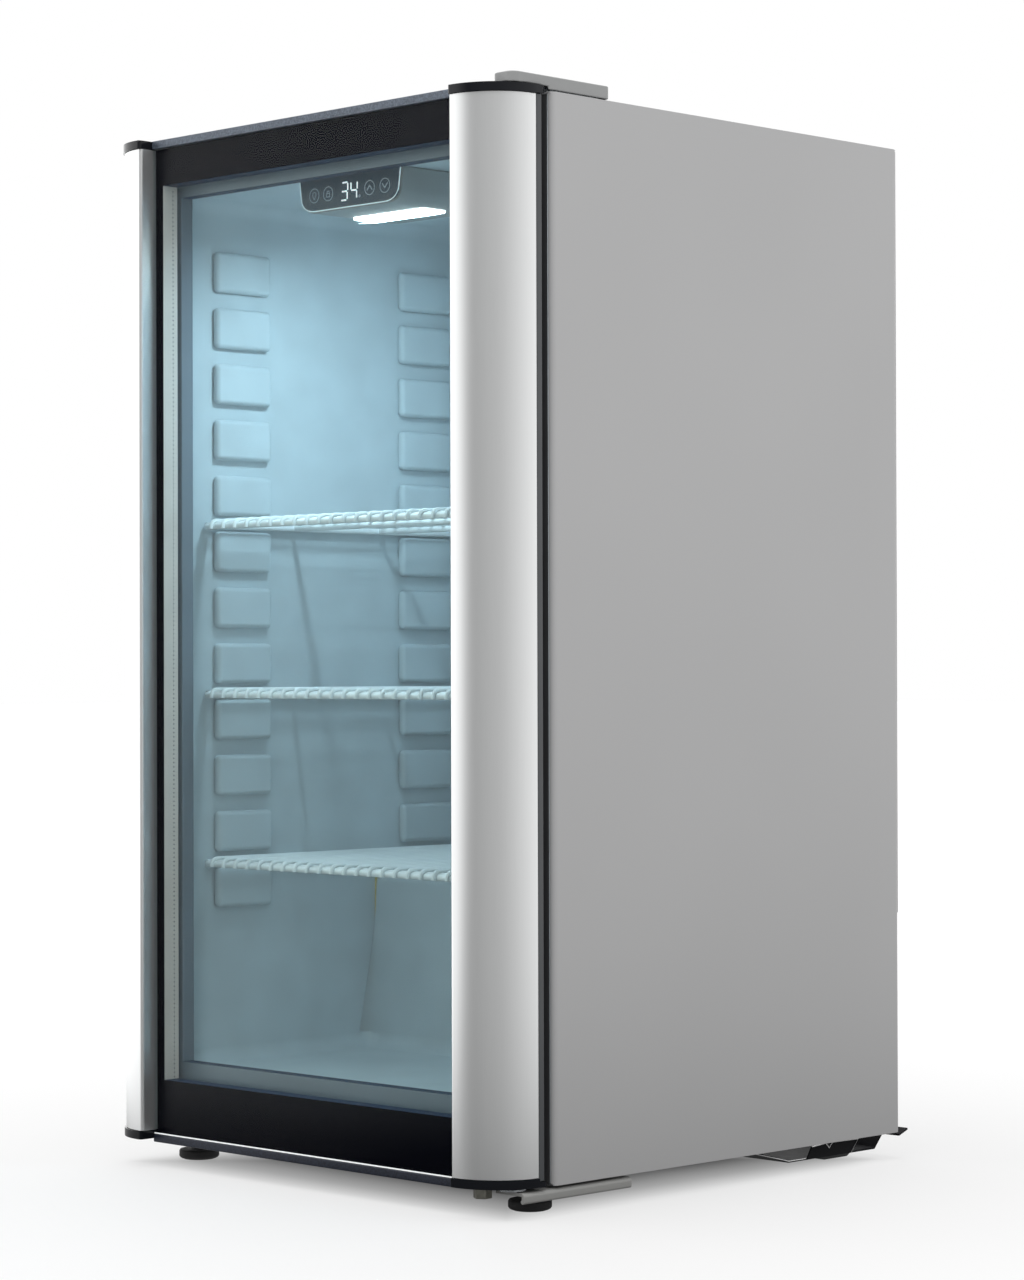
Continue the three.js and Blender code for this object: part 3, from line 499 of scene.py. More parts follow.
# A glowing strip on the front glass's lower edge: a painted highlight.
GLASS_EDGE_HIGHLIGHT = glowing("glass_edge_painted_highlight", (0.85, 0.88, 0.88), 0.45, roughness=0.5)
STUD_STEEL = metal("plain_steel", (0.4, 0.39, 0.34), 0.3, EVEN_GRAIN, 3.0, spread=0.15, relief=0.02)
# Thin bright metal along the base plate's edges: painted highlights.
EDGE_HIGHLIGHT_METAL = metal("sheet_edge_painted_highlight", (0.7, 0.7, 0.7), 0.35, EVEN_GRAIN, 3.0, spread=0.1, relief=0.01)
# Dark discs for the spacer's holes: painted shade.
HOLE_PAINTED_SHADE = moulded("pinhole_painted_shade", (0.03, 0.035, 0.04), 0.6)

SLOTS = {part["node"]: part["material_slot"] for part in frame["record"]["subparts"]}
BODIES = {node: body for body, nodes in frame["record"]["behaviour"]["bodies"].items() for node in nodes}


# ------------------------------------------------------------------ mesh building

BOX_FACES = [(0, 1, 3, 2), (4, 6, 7, 5), (0, 4, 5, 1), (2, 3, 7, 6), (0, 2, 6, 4), (1, 5, 7, 3)]
# How a shape turned about Z is tipped to turn about another axis.
TIPPED = {
    "X": Matrix.Rotation(math.pi / 2, 3, "Y"),
    "Y": Matrix.Rotation(-math.pi / 2, 3, "X"),
    "Z": Matrix.Identity(3),
}


class Solid:
    """Collects one piece's closed shells, which are given in millimetres."""

    def __init__(self):
        self.mesh = bmesh.new()

    def take(self, part):
        """Adds another bmesh to this one and frees it."""
        holder = bpy.data.meshes.new("holder")
        part.to_mesh(holder)
        part.free()
        self.mesh.from_mesh(holder)
        bpy.data.meshes.remove(holder)

    def shell(self, points, faces, soften=0.0, segments=2):
        """A closed shell from its points and faces, with its edges rounded by soften."""
        part = bmesh.new()
        corners = [part.verts.new(Vector(p) * MM) for p in points]
        for face in faces:
            part.faces.new([corners[i] for i in face])
        bmesh.ops.recalc_face_normals(part, faces=part.faces)
        soften_edges(part, soften * MM, segments)
        self.take(part)

    def block(self, low, high, soften=0.0, segments=2):
        """A box between two corners."""
        points = list(itertools.product(*zip(low, high)))
        self.shell(points, BOX_FACES, soften, segments)

    def loft(self, rings, soften=0.0, closed=False):
        """Joins rings of equal length into a skin, with flat ends unless the rings close on themselves."""
        count = len(rings[0])
        points = [p for ring in rings for p in ring]
        faces = []
        for i in range(len(rings) if closed else len(rings) - 1):
            a, b = i * count, ((i + 1) % len(rings)) * count
            for k in range(count):
                n = (k + 1) % count
                faces.append((a + k, a + n, b + n, b + k))
        if not closed:
            faces.append(tuple(range(count)))
            faces.append(tuple(range((len(rings) - 1) * count, len(rings) * count)))
        self.shell(points, faces, soften)

    def turned(self, profile, centre, axis="Z", segments=48):
        """Turns (radius, height) pairs about an axis, on which the profile starts and ends."""
        part = bmesh.new()
        rings = [ring_of(part, radius, height, segments) for radius, height in profile]
        for lower, upper in zip(rings, rings[1:]):
            for k in range(segments):
                n = (k + 1) % segments
                corners = [lower[k % len(lower)], lower[n % len(lower)]]
                corners += [upper[n % len(upper)], upper[k % len(upper)]]
                unique = list(dict.fromkeys(corners))
                if len(unique) > 2:
                    part.faces.new(unique)
        for vertex in part.verts:
            vertex.co = TIPPED[axis] @ vertex.co + Vector(centre) * MM
        bmesh.ops.recalc_face_normals(part, faces=part.faces)
        self.take(part)

    def tube(self, path, radius, sides=10):
        """A round bar along a list of points."""
        rings = []
        normal = None
        for i, point in enumerate(path):
            before, after = Vector(path[max(i - 1, 0)]), Vector(path[min(i + 1, len(path) - 1)])
            ahead = (after - before).normalized()
            if normal is None:
                normal = ahead.orthogonal().normalized()
            normal = (normal - ahead * normal.dot(ahead)).normalized()
            other = ahead.cross(normal)
            angles = [2 * math.pi * k / sides for k in range(sides)]
            spokes = [normal * math.cos(a) + other * math.sin(a) for a in angles]
            rings.append([Vector(point) + radius * spoke for spoke in spokes])
        self.loft(rings)


def ring_of(part, radius, height, segments):
    """One ring of a turned shape, which is a single point where the radius is 0."""
    if radius == 0:
        return [part.verts.new((0, 0, height * MM))]
    angles = [2 * math.pi * k / segments for k in range(segments)]
    places = [Vector((radius * math.cos(a), radius * math.sin(a), height)) for a in angles]
    return [part.verts.new(place * MM) for place in places]


def soften_edges(part, width, segments):
    """Rounds every edge of a bmesh that is sharper than SHARP, by a width in metres."""
    if width <= 0:
        return
    edges = [e for e in part.edges if len(e.link_faces) == 2 and e.calc_face_angle(0) > SHARP]
    bevel(part, edges, width, segments)


def bevel(part, edges, width, segments):
    """Rounds some edges of a bmesh, by a width in metres."""
    bmesh.ops.bevel(part, geom=edges, offset=width, segments=segments, profile=0.5, affect="EDGES",
                    clamp_overlap=True)


def show(name, solid, body, slot, material=None, replaces=()):
    """Turns a Solid into a finished piece that rides on a body, in its slot's material by default."""
    mesh = bpy.data.meshes.new(name)
    solid.mesh.to_mesh(mesh)
    solid.mesh.free()
    mesh.materials.append(material or MATERIALS[slot])
    mesh.polygons.foreach_set("use_smooth", [True] * len(mesh.polygons))
    mesh.set_sharp_from_angle(angle=SHARP)
    piece = bpy.data.objects.new(name, mesh)
    bpy.context.scene.collection.objects.link(piece)
    even = piece.modifiers.new("even_shading", "WEIGHTED_NORMAL")
    even.keep_sharp = True
    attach(piece, body)
    if replaces:
        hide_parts(*replaces)
    return piece


def refine(node, soften=0.0, segments=2, material=None):
    """Shows a CAD node as its own clean mesh: flat faces joined, edges rounded, curves smooth."""
    solid = Solid()
    solid.mesh.from_mesh(frame["nodes"][node].data)
    bmesh.ops.remove_doubles(solid.mesh, verts=solid.mesh.verts, dist=JOINED)
    bmesh.ops.dissolve_limit(solid.mesh, angle_limit=FLAT, verts=solid.mesh.verts, edges=solid.mesh.edges)
    soften_edges(solid.mesh, soften * MM, segments)
    return show(f"{node}_finish", solid, BODIES[node], SLOTS[node], material, [node])


def refine_all(finishes):
    """Refines CAD nodes from rows of (node, soften, segments)."""
    for node, soften, segments in finishes:
        refine(node, soften, segments)


def recolour(piece, material, chosen):
    """Gives a second material to the faces of a piece that chosen picks."""
    piece.data.materials.append(material)
    for face in piece.data.polygons:
        if chosen(face):
            face.material_index = len(piece.data.materials) - 1


def add_skin(piece, thickness):
    """Gives a piece that is a bare surface its thickness, inwards."""
    skin = piece.modifiers.new("skin", "SOLIDIFY")
    skin.thickness = thickness * MM
    skin.offset = -1


def in_mm(node):
    """The limits of a CAD node as (low, high), in millimetres."""
    low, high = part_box(node)
    return low / MM, high / MM


def rectangle(low, high, inset_x=0.0, inset_z=0.0):
    """The corners of a box's front, moved inwards, as (x, z) pairs."""
    left, right = low.x + inset_x, high.x - inset_x
    bottom, top = low.z + inset_z, high.z - inset_z
    return [(left, bottom), (right, bottom), (right, top), (left, top)]


def arc(centre, radius, start, end, steps):
    """Points along an arc, as pairs, from a start to an end angle in degrees."""
    angles = [math.radians(start + (end - start) * k / steps) for k in range(steps + 1)]
    return [(centre[0] + radius * math.cos(a), centre[1] + radius * math.sin(a)) for a in angles]


def curve(start, bend, end, steps):
    """Points along a curve that leaves its start and reaches its end along lines to the bend."""
    points = []
    for k in range(steps + 1):
        t = k / steps
        points.append(Vector(start) * (1 - t) ** 2 + Vector(bend) * 2 * t * (1 - t) + Vector(end) * t * t)
    return points


def rounded_rectangle(x, z, radius, steps):
    """Points round a rectangle with rounded corners, as (x, z) pairs."""
    left, right = x[0] + radius, x[1] - radius
    bottom, top = z[0] + radius, z[1] - radius
    points = []
    for quarter, centre in enumerate(((right, bottom), (right, top), (left, top), (left, bottom))):
        points += arc(centre, radius, 90 * quarter - 90, 90 * quarter, steps)
    return points


# ------------------------------------------------------------------ liner

LINER_SKIN = 1.8
LINER_ROUND, LINER_ROUND_STEPS = 13.0, 6
LINER_EDGE = 3.2
# The tub's hollow: its half width, the heights of its floor, ceiling and step, and depths from its mouth.
TUB_HALF = 186.0
TUB_FLOOR, TUB_CEILING, TUB_STEP = 75.0, 772.0, 226.0
STEP_DEPTH, TUB_DEPTH = 200.0, 340.0
# The shelf supports: columns of raised pads on both side walls.
PAD_COUNT, PAD_PITCH, PAD_SLOT = 12, 45.2, 12.5
PAD_FIRST_TOP = 233.0
PAD_DEPTH, PAD_LENGTH = 7.0, 58.0
PAD_STARTS = (28.0, 232.0)
# How far the pads sink into the side walls, and into the step where they stand over it.
PAD_ROOT, PAD_LAP = 0.8, 0.5
PAD_SOFTEN, PAD_SOFTEN_STEPS = 5.0, 6


def add_tub():
    """The moulded tub: rounded corners, a step over the compressor and a flat flange round its mouth."""
    low, high = in_mm("liner")
    front = low.y
    step, back = front + STEP_DEPTH, front + TUB_DEPTH
    outline = [(front, TUB_FLOOR), (step, TUB_FLOOR), (step, TUB_STEP), (back, TUB_STEP),
               (back, TUB_CEILING), (front, TUB_CEILING)]
    tub = bmesh.new()
    left, right = [[tub.verts.new(Vector((side * TUB_HALF, y, z)) * MM) for y, z in outline]
                   for side in (-1, 1)]
    tub.faces.new(left)
    tub.faces.new(right)
    for k in range(len(outline)):
        n = (k + 1) % len(outline)
        tub.faces.new((left[k], left[n], right[n], right[k]))

    def at_front(part):
        return all(abs(v.co.y - front * MM) < TOUCHING for v in part.verts)

    bevel(tub, [e for e in tub.edges if not at_front(e)], LINER_ROUND * MM, LINER_ROUND_STEPS)
    bmesh.ops.delete(tub, geom=[f for f in tub.faces if at_front(f)], context="FACES_ONLY")
    mouth = [e for e in tub.edges if e.is_boundary]
    corners = [tub.verts.new(Vector((x, front, z)) * MM) for x, z in rectangle(low, high, LINER_EDGE)]
    border = [tub.edges.new(pair) for pair in zip(corners, corners[1:] + corners[:1])]
    bmesh.ops.triangle_fill(tub, use_beauty=True, edges=mouth + border)
    bmesh.ops.recalc_face_normals(tub, faces=tub.faces)
    flange = next(f for f in tub.faces if at_front(f))
    if flange.normal.y > 0:
        bmesh.ops.reverse_faces(tub, faces=tub.faces)
    solid = Solid()
    solid.take(tub)
    add_skin(show("liner_tub", solid, "cabinet", "liner_plastic", replaces=["liner"]), LINER_SKIN)


def add_shelf_supports():
    """Columns of pads. A pad that would reach down past the step starts just inside it."""
    front = in_mm("liner")[0].y
    pads = Solid()
    for level in range(PAD_COUNT):
        top = PAD_FIRST_TOP + PAD_PITCH * level
        bottom = top - (PAD_PITCH - PAD_SLOT)
        for start in PAD_STARTS:
            lowest = max(bottom, TUB_STEP - PAD_LAP) if start > STEP_DEPTH else bottom
            for side in (-1, 1):
                x = sorted((side * (TUB_HALF - PAD_DEPTH), side * (TUB_HALF + PAD_ROOT)))
                corners = (x[0], front + start, lowest), (x[1], front + start + PAD_LENGTH, top)
                pads.block(*corners, PAD_SOFTEN, PAD_SOFTEN_STEPS)
    show("liner_shelf_supports", pads, "cabinet", "liner_plastic")


# ------------------------------------------------------------------ shelves

WIRE, BAR = 1.6, 2.6
BAR_SIDES = 14
WIRE_COUNT = 25
WIRE_MARGIN = 13.0
# Clearances inside the shelf's box: over the wires, before their lip and round the bars.
TOP_GAP, LIP_GAP, BAR_GAP = 1.0, 0.6, 0.2
# A wire's front end folds down round this bend.
BEND, BEND_STEPS = 5.2, 6
# How far the bars sink into the wires that they are welded to.
WELD, FRONT_WELD = 0.6, 0.5
# The front bars' depths from the shelf's front, and those of the bars under it.
LOW_BAR, HIGH_BAR = 6.4, 9.6
CROSS_BARS = (100, 195)
SIDE_BAR_START = 6


def wire_lip(front, top):
    """The (y, z) points where a wire folds down at a shelf's front."""
    angles = [math.pi / 2 * k / BEND_STEPS for k in range(BEND_STEPS + 1)]
    start = front + WIRE + LIP_GAP
    return [(start + BEND * (1 - math.sin(a)), top - BEND * (1 - math.cos(a))) for a in angles]


def add_shelf(node):
    """Coated wires run from front to back and fold down over a pair of front bars."""
    low, high = in_mm(node)
    solid = Solid()
    top = high.z - TOP_GAP - WIRE
    lip = wire_lip(low.y, top)
    pitch = (high.x - low.x - 2 * WIRE_MARGIN) / (WIRE_COUNT - 1)
    for i in range(WIRE_COUNT):
        x = low.x + WIRE_MARGIN + i * pitch
        path = [(x, high.y - BAR, top), (x, (low.y + high.y) / 2, top)]
        path += [(x, y, z) for y, z in lip]
        path.append((x, lip[-1][0], low.z + WIRE / 2))
        solid.tube(path, WIRE)
    inset = BAR + BAR_GAP
    left, right, rear = low.x + inset, high.x - inset, high.y - inset
    touching = top - WIRE - BAR
    below = touching + WELD
    bars = [(low.y + LOW_BAR, low.z + inset), (low.y + HIGH_BAR, touching + FRONT_WELD)]
    bars += [(low.y + depth, below) for depth in CROSS_BARS] + [(rear, below)]
    for y, z in bars:
        solid.tube([(left, y, z), (right, y, z)], BAR, BAR_SIDES)
    for x in (left, right):
        solid.tube([(x, low.y + SIDE_BAR_START, below), (x, rear, below)], BAR, BAR_SIDES)
    show(f"{node}_wires", solid, BODIES[node], "coated_wire", replaces=[node])


# ------------------------------------------------------------------ door

SPACER_WIDTH = 7.0
FRIT_NEAR, FRIT_FAR = 0.06, 0.2
# A glowing strip along the front glass's lower edge, a painted highlight: how far it lies inside, before,
# under and over the glass's corner.
HIGHLIGHT_INSET, HIGHLIGHT_FRONT, HIGHLIGHT_BACK, HIGHLIGHT_UNDER, HIGHLIGHT_OVER = 0.5, 0.5, 0.05, 0.1, 0.9
HOLE_PITCH, HOLE_RADIUS, HOLE_HEIGHT = 3.4, 0.55, 0.08
HOLE_SIDES = 8
# The holes stand at this share of the spacer's depth.
HOLE_SHARE = 0.68
SEAL_WIDTH, SEAL_ROUND, SEAL_ROUND_STEPS = 17.0, 20.0, 5
# Half of the seal's section, from its root to its magnet head, as (inset, share of its depth) pairs.
SEAL_HALF = [(0.5, 0.0), (0.5, 0.18), (4.0, 0.28), (1.5, 0.4), (4.0, 0.52), (1.0, 0.62), (0.0, 0.7),
             (0.0, 0.95), (1.0, 1.0)]
# A face whose normal leans more than this along Z is a top or a bottom.
LEVEL = 0.6
# The frame's sides are its faces within this distance of its widest place.
SIDE_DEPTH = 3


def add_frit():
    """The black border printed on the back of the front glass, and a glowing strip along the glass's lower
    edge, a painted highlight.
    """
    low, high = in_mm("front_glass")
    outer = rectangle(low, high)
    inner = rectangle(*in_mm("glass_spacer"), SPACER_WIDTH, SPACER_WIDTH)
    near, far = high.y + FRIT_NEAR, high.y + FRIT_FAR
    solid = Solid()
    outlines = ((outer, near), (inner, near), (inner, far), (outer, far))
    solid.loft([[(x, y, z) for x, z in outline] for outline, y in outlines], closed=True)
    show("front_glass_border", solid, "door", "black_gloss", FRIT)
    # The glass's lower edge glows: a painted highlight.
    edge = Solid()
    start = (low.x + HIGHLIGHT_INSET, low.y - HIGHLIGHT_FRONT, low.z - HIGHLIGHT_UNDER)
    end = (high.x - HIGHLIGHT_INSET, low.y - HIGHLIGHT_BACK, low.z + HIGHLIGHT_OVER)
    edge.block(start, end, soften=0.15)
    show("front_glass_edge_highlight", edge, "door", "door_glass", GLASS_EDGE_HIGHLIGHT)


def add_spacer_holes():
    """The row of breathing holes in the spacer's inner face, as thin dark discs: painted shade in the
    holes.
    """
    low, high = in_mm("glass_spacer")
    x_face, z_low, z_high = high.x - SPACER_WIDTH, low.z + SPACER_WIDTH, high.z - SPACER_WIDTH
    y = low.y + (high.y - low.y) * HOLE_SHARE
    disc = [(0, -HOLE_HEIGHT), (HOLE_RADIUS, -HOLE_HEIGHT), (HOLE_RADIUS, HOLE_HEIGHT), (0, HOLE_HEIGHT)]
    solid = Solid()
    for i in range(int((z_high - z_low) / HOLE_PITCH)):
        z = z_low + HOLE_PITCH * (i + 0.5)
        for x in (-x_face, x_face):
            solid.turned(disc, (x, y, z), "X", HOLE_SIDES)
    for i in range(int(2 * x_face / HOLE_PITCH)):
        x = -x_face + HOLE_PITCH * (i + 0.5)
        for z in (z_low, z_high):
            solid.turned(disc, (x, y, z), "Z", HOLE_SIDES)
    show("glass_spacer_holes", solid, "door", "bare_aluminium", HOLE_PAINTED_SHADE)


def add_gasket():
    """The seal: a base strip, a narrow bellows and a magnet head, running round the door."""
    low, high = in_mm("door_gasket")
    depth = high.y - low.y
    section = SEAL_HALF + [(SEAL_WIDTH - inset, share) for inset, share in reversed(SEAL_HALF)]
    rings = []
    for inset, share in section:
        x, z = (low.x + inset, high.x - inset), (low.z + inset, high.z - inset)
        outline = rounded_rectangle(x, z, SEAL_ROUND - inset, SEAL_ROUND_STEPS)
        rings.append([(x, low.y + share * depth, z) for x, z in outline])
    solid = Solid()
    solid.loft(rings, closed=True)
    show("door_gasket_bellows", solid, "door", "black_rubber", replaces=["door_gasket"])


def add_door():
    """Pillars, caps, glazing, frame, trims and seal."""
    for side in ("right", "left"):
        refine(f"pillar_{side}", 0.25)
        for level in ("bottom", "top"):
            refine(f"end_cap_{level}_{side}", 0.7, 3)
    refine_all([("front_glass", 0.4, 2), ("rear_glass", 0.4, 2)])
    spacer = refine("glass_spacer", 0.3, material=SPACER)
    # The spacer's tops and bottoms are darker than its sides: painted shade.
    recolour(spacer, NAVY_PAINTED_SHADE, lambda face: abs(face.normal.z) > LEVEL)
    door_frame = refine("door_frame", 0.8, material=NAVY)
    outside = (in_mm("door_frame")[1].x - SIDE_DEPTH) * MM
    # The frame's tops and bottoms are a darker navy: painted shade.
    recolour(door_frame, NAVY_PAINTED_SHADE, lambda face: abs(face.normal.z) > LEVEL)
    # The frame's outer sides are near black: painted shade.
    recolour(door_frame, DOOR_SIDE_PAINTED_SHADE, lambda face: abs(face.center.x) > outside)
    # The top trim is lighter than the bottom one: a painted reflection.
    refine("door_trim_top", 0.6, material=TRIM_TOP_PAINTED_REFLECTION)
    refine("door_trim_bottom", 0.6, material=TRIM_BOTTOM)
    refine_all([("hinge_bush_bottom", 0.3, 2), ("hinge_bush_top", 0.3, 2)])
    refine("door_stop_stud", 0.5, 3, STUD_STEEL)
    add_frit()
    add_spacer_holes()
    add_gasket()


# ------------------------------------------------------------------ cabinet and hardware

PANEL_ROUND, PANEL_SHEET, PANEL_ROUND_STEPS = 4.5, 1.2, 8
STRIP_EDGE, STRIP_WIDTH = 3.4, 14.0
STRIP_RISE, STRIP_ROOT = 0.22, 0.1
# The back sheet has two panels pressed into it, side by side between a plain border and a plain rib.
BACK_BORDER, BACK_SLOPE, BACK_PRESS = 26.0, 4.0, 0.9
BACK_RIB_HALF = 12.0
BACK_SKIN, BACK_RIM = 0.8, 0.3
SCREW_INSET, SCREW_COLUMN = 12, 70
# A screw head on its washer, as (radius, height) pairs.
SCREW_HEAD = [(0, -0.5), (4.0, -0.5), (4.0, 0.3), (3.68, 0.6), (2.48, 0.7), (2.4, 1.6), (0, 1.6)]
SCREW_SIDES = 24
# A levelling foot's pad, as (radius, height) pairs, and the stud: its thread, then its tip below the top.
FOOT_PAD = [(0, 0), (12.5, 0), (13, 0.6), (14.2, 0.6), (15.2, 1.2), (16, 2.4),
            (16, 6.4), (15.2, 7.6), (13.5, 8), (6.5, 8), (6.2, 9.5), (0, 9.5)]
FOOT_SIDES, STUD_SIDES = 64, 32
STUD_START, THREAD_START, THREAD_END_GAP, THREAD_PITCH = 9, 10.0, 1.4, 1.25
THREAD_CREST, THREAD_ROOT, THREAD_FLANK = 4.0, 3.4, 0.62
STUD_TIP = [(3.2, 0.6), (0, 0.2)]
# The bracket is sheet with a round fold along its side and a hem under it.
BRACKET_SHEET, BRACKET_FOLD, BRACKET_HEM, BRACKET_LIP = 2.5, 3.2, 1.7, 2.6
FOLD_STEPS, HEM_STEPS = 6, 10
PIN_RADIUS, PIN_CHAMFER, PIN_SINK = 4, 1, 1
COLLAR_HEIGHT, COLLAR_CHAMFER, COLLAR_NECK, COLLAR_SERRATIONS = 2.0, 0.4, 0.9, 11
# The base plate's cheeks, as (depth from the cabinet's front, height) pairs, and the rim of its slope.
CHEEK = [(300, 7.9), (354, 7.9), (363, 18.2), (331, 18.6), (327, 14.6), (323, 18.6), (306, 17.4)]
CHEEK_HALF, CHEEK_SHEET = 205.4, 1.2
CUT_EDGE_HALF, SLOPE_EDGE_HALF = 206.7, 205.2
CUT_EDGE, SLOPE_EDGE, EDGE_SIDES = 0.45, 0.35, 8
SLOPE_START, SLOPE_FOOT, SLOPE_END = 239, 280, 301
SLOPE_DROP, SLOPE_LIFT = 5.4, 1.2


def middle_of(low, high):
    """The middle of a box in plan, at floor height."""
    return ((low.x + high.x) / 2, (low.y + high.y) / 2, 0)


def add_side_panel(node, side):
    """A sheet side with its front and rear edges rolled over."""
    low, high = in_mm(node)
    bend = max(abs(low.x), abs(high.x)) - PANEL_ROUND
    front, rear = (bend, low.y + PANEL_ROUND), (bend, high.y - PANEL_ROUND)
    inner = PANEL_ROUND - PANEL_SHEET
    plan = []
    for corner, radius, start, end in ((front, PANEL_ROUND, -90, 0), (rear, PANEL_ROUND, 0, 90),
                                       (rear, inner, 90, 0), (front, inner, 0, -90)):
        plan += arc(corner, radius, start, end, PANEL_ROUND_STEPS)
    solid = Solid()
    solid.loft([[(side * x, y, z) for x, y in plan] for z in (low.z, high.z)], soften=0.25)
    show(f"{node}_sheet", solid, "cabinet", "painted_steel", replaces=[node])


def add_back_sheet(low, high):
    """The pressed back sheet, as one skin with its rim eased."""
    step = BACK_BORDER + BACK_SLOPE
    xs = [low.x, low.x + BACK_BORDER, low.x + step, -BACK_RIB_HALF - BACK_SLOPE, -BACK_RIB_HALF]
    xs += [-x for x in reversed(xs)]
    zs = [low.z, low.z + BACK_BORDER, low.z + step]
    zs += [low.z + high.z - z for z in reversed(zs)]
    pressed_x, pressed_z = xs[2:4] + xs[6:8], zs[2:4]
    sheet = bmesh.new()
    grid = []
    for x in xs:
        ys = [high.y - (BACK_PRESS if x in pressed_x and z in pressed_z else 0) for z in zs]
        grid.append([sheet.verts.new(Vector((x, y, z)) * MM) for y, z in zip(ys, zs)])
    for left, right in zip(grid, grid[1:]):
        for k in range(len(zs) - 1):
            sheet.faces.new((left[k], right[k], right[k + 1], left[k + 1]))
    bmesh.ops.recalc_face_normals(sheet, faces=sheet.faces)
    if sum(face.normal.y for face in sheet.faces) < 0:
        bmesh.ops.reverse_faces(sheet, faces=sheet.faces)
    solid = Solid()
    solid.take(sheet)
    panel = show("back_panel_pressed", solid, "cabinet", "painted_steel", replaces=["back_panel"])
    add_skin(panel, BACK_SKIN)
    rim = panel.modifiers.new("rim", "BEVEL")
    rim.width = BACK_RIM * MM
    rim.segments = 2
    rim.limit_method = "ANGLE"


def add_back_screws(low, high):
    """Screws round the back sheet's edge."""
    sides, ends = (low.x + SCREW_INSET, high.x - SCREW_INSET), (low.z + SCREW_INSET, high.z - SCREW_INSET)
    places = [(x, z) for z in (ends[0], (low.z + high.z) / 2, ends[1]) for x in sides]
    places += [(x, z) for x in (-SCREW_COLUMN, SCREW_COLUMN) for z in ends]
    heads = Solid()
    for x, z in places:
        heads.turned(SCREW_HEAD, (x, high.y, z), "Y", SCREW_SIDES)
    show("back_panel_screws", heads, "cabinet", "zinc_steel")


def add_front_foot(node):
    """A levelling foot: a ribbed pad on a threaded stud."""
    low, high = in_mm(node)
    centre = middle_of(low, high)
    pad = Solid()
    pad.turned(FOOT_PAD, centre, segments=FOOT_SIDES)
    show(f"{node}_pad", pad, BODIES[node], "black_rubber", replaces=[node])
    thread = [(0, STUD_START)]
    for turn in range(math.ceil((high.z - THREAD_END_GAP - THREAD_START) / THREAD_PITCH)):
        z = THREAD_START + THREAD_PITCH * turn
        thread += [(THREAD_CREST, z), (THREAD_ROOT, z + THREAD_FLANK)]
    thread += [(radius, high.z - gap) for radius, gap in STUD_TIP]
    stud = Solid()
    stud.turned(thread, centre, segments=STUD_SIDES)
    show(f"{node}_stud", stud, BODIES[node], "zinc_steel")


def add_front_strip():
    """A dark strip round the cabinet's front beside the door seal: painted shade in the gap behind the
    door.
    """
    low, high = in_mm("liner")
    outer = rectangle(low, high, STRIP_EDGE)
    inner = rectangle(low, high, STRIP_WIDTH, STRIP_WIDTH)
    front, root = low.y - STRIP_RISE, low.y + STRIP_ROOT
    outlines = ((outer, front), (inner, front), (inner, root), (outer, root))
    solid = Solid()
    solid.loft([[(x, y, z) for x, z in outline] for outline, y in outlines], closed=True)
    show("cabinet_front_shade_strip", solid, "cabinet", "black_plastic", FRONT_SHADE_STRIP)


def add_bottom_bracket():
    """The hinge bracket: a plate whose side is folded down and hemmed under."""
    low, high = in_mm("hinge_bracket_bottom")
    under = high.z - BRACKET_SHEET
    inside = high.x - BRACKET_SHEET
    lip = low.z + BRACKET_LIP
    plan = [(low.x, under), (low.x, high.z)]
    plan += arc((high.x - BRACKET_FOLD, high.z - BRACKET_FOLD), BRACKET_FOLD, 90, 0, FOLD_STEPS)
    plan += arc((high.x - BRACKET_HEM, low.z + BRACKET_HEM), BRACKET_HEM, 0, -180, HEM_STEPS)
    plan += [(high.x - 2 * BRACKET_HEM, lip), (inside, lip), (inside, under)]
    solid = Solid()
    solid.loft([[(x, y, z) for x, z in plan] for y in (low.y, high.y)], soften=0.3)
    name = "hinge_bracket_bottom_folded"
    show(name, solid, "cabinet", "painted_bracket", replaces=["hinge_bracket_bottom"])


def add_bottom_pin():
    """The hinge pin on its serrated collar."""
    low, high = in_mm("hinge_pin_bottom")
    centre = middle_of(low, high)
    radius = (high.x - low.x) / 2
    neck = radius * COLLAR_NECK
    top = low.z + COLLAR_HEIGHT
    collar = [(0, low.z), (neck, low.z), (radius, low.z + COLLAR_CHAMFER), (radius, top - COLLAR_CHAMFER),
              (neck, top), (0, top)]
    foot, shoulder, tip = low.z + PIN_SINK, high.z - PIN_CHAMFER, PIN_RADIUS - PIN_CHAMFER
    pin = [(0, foot), (PIN_RADIUS, foot), (PIN_RADIUS, shoulder), (tip, high.z), (0, high.z)]
    solid = Solid()
    solid.turned(collar, centre, segments=COLLAR_SERRATIONS)
    solid.turned(pin, centre, segments=STUD_SIDES)
    show("hinge_pin_bottom_turned", solid, "cabinet", "zinc_steel", replaces=["hinge_pin_bottom"])


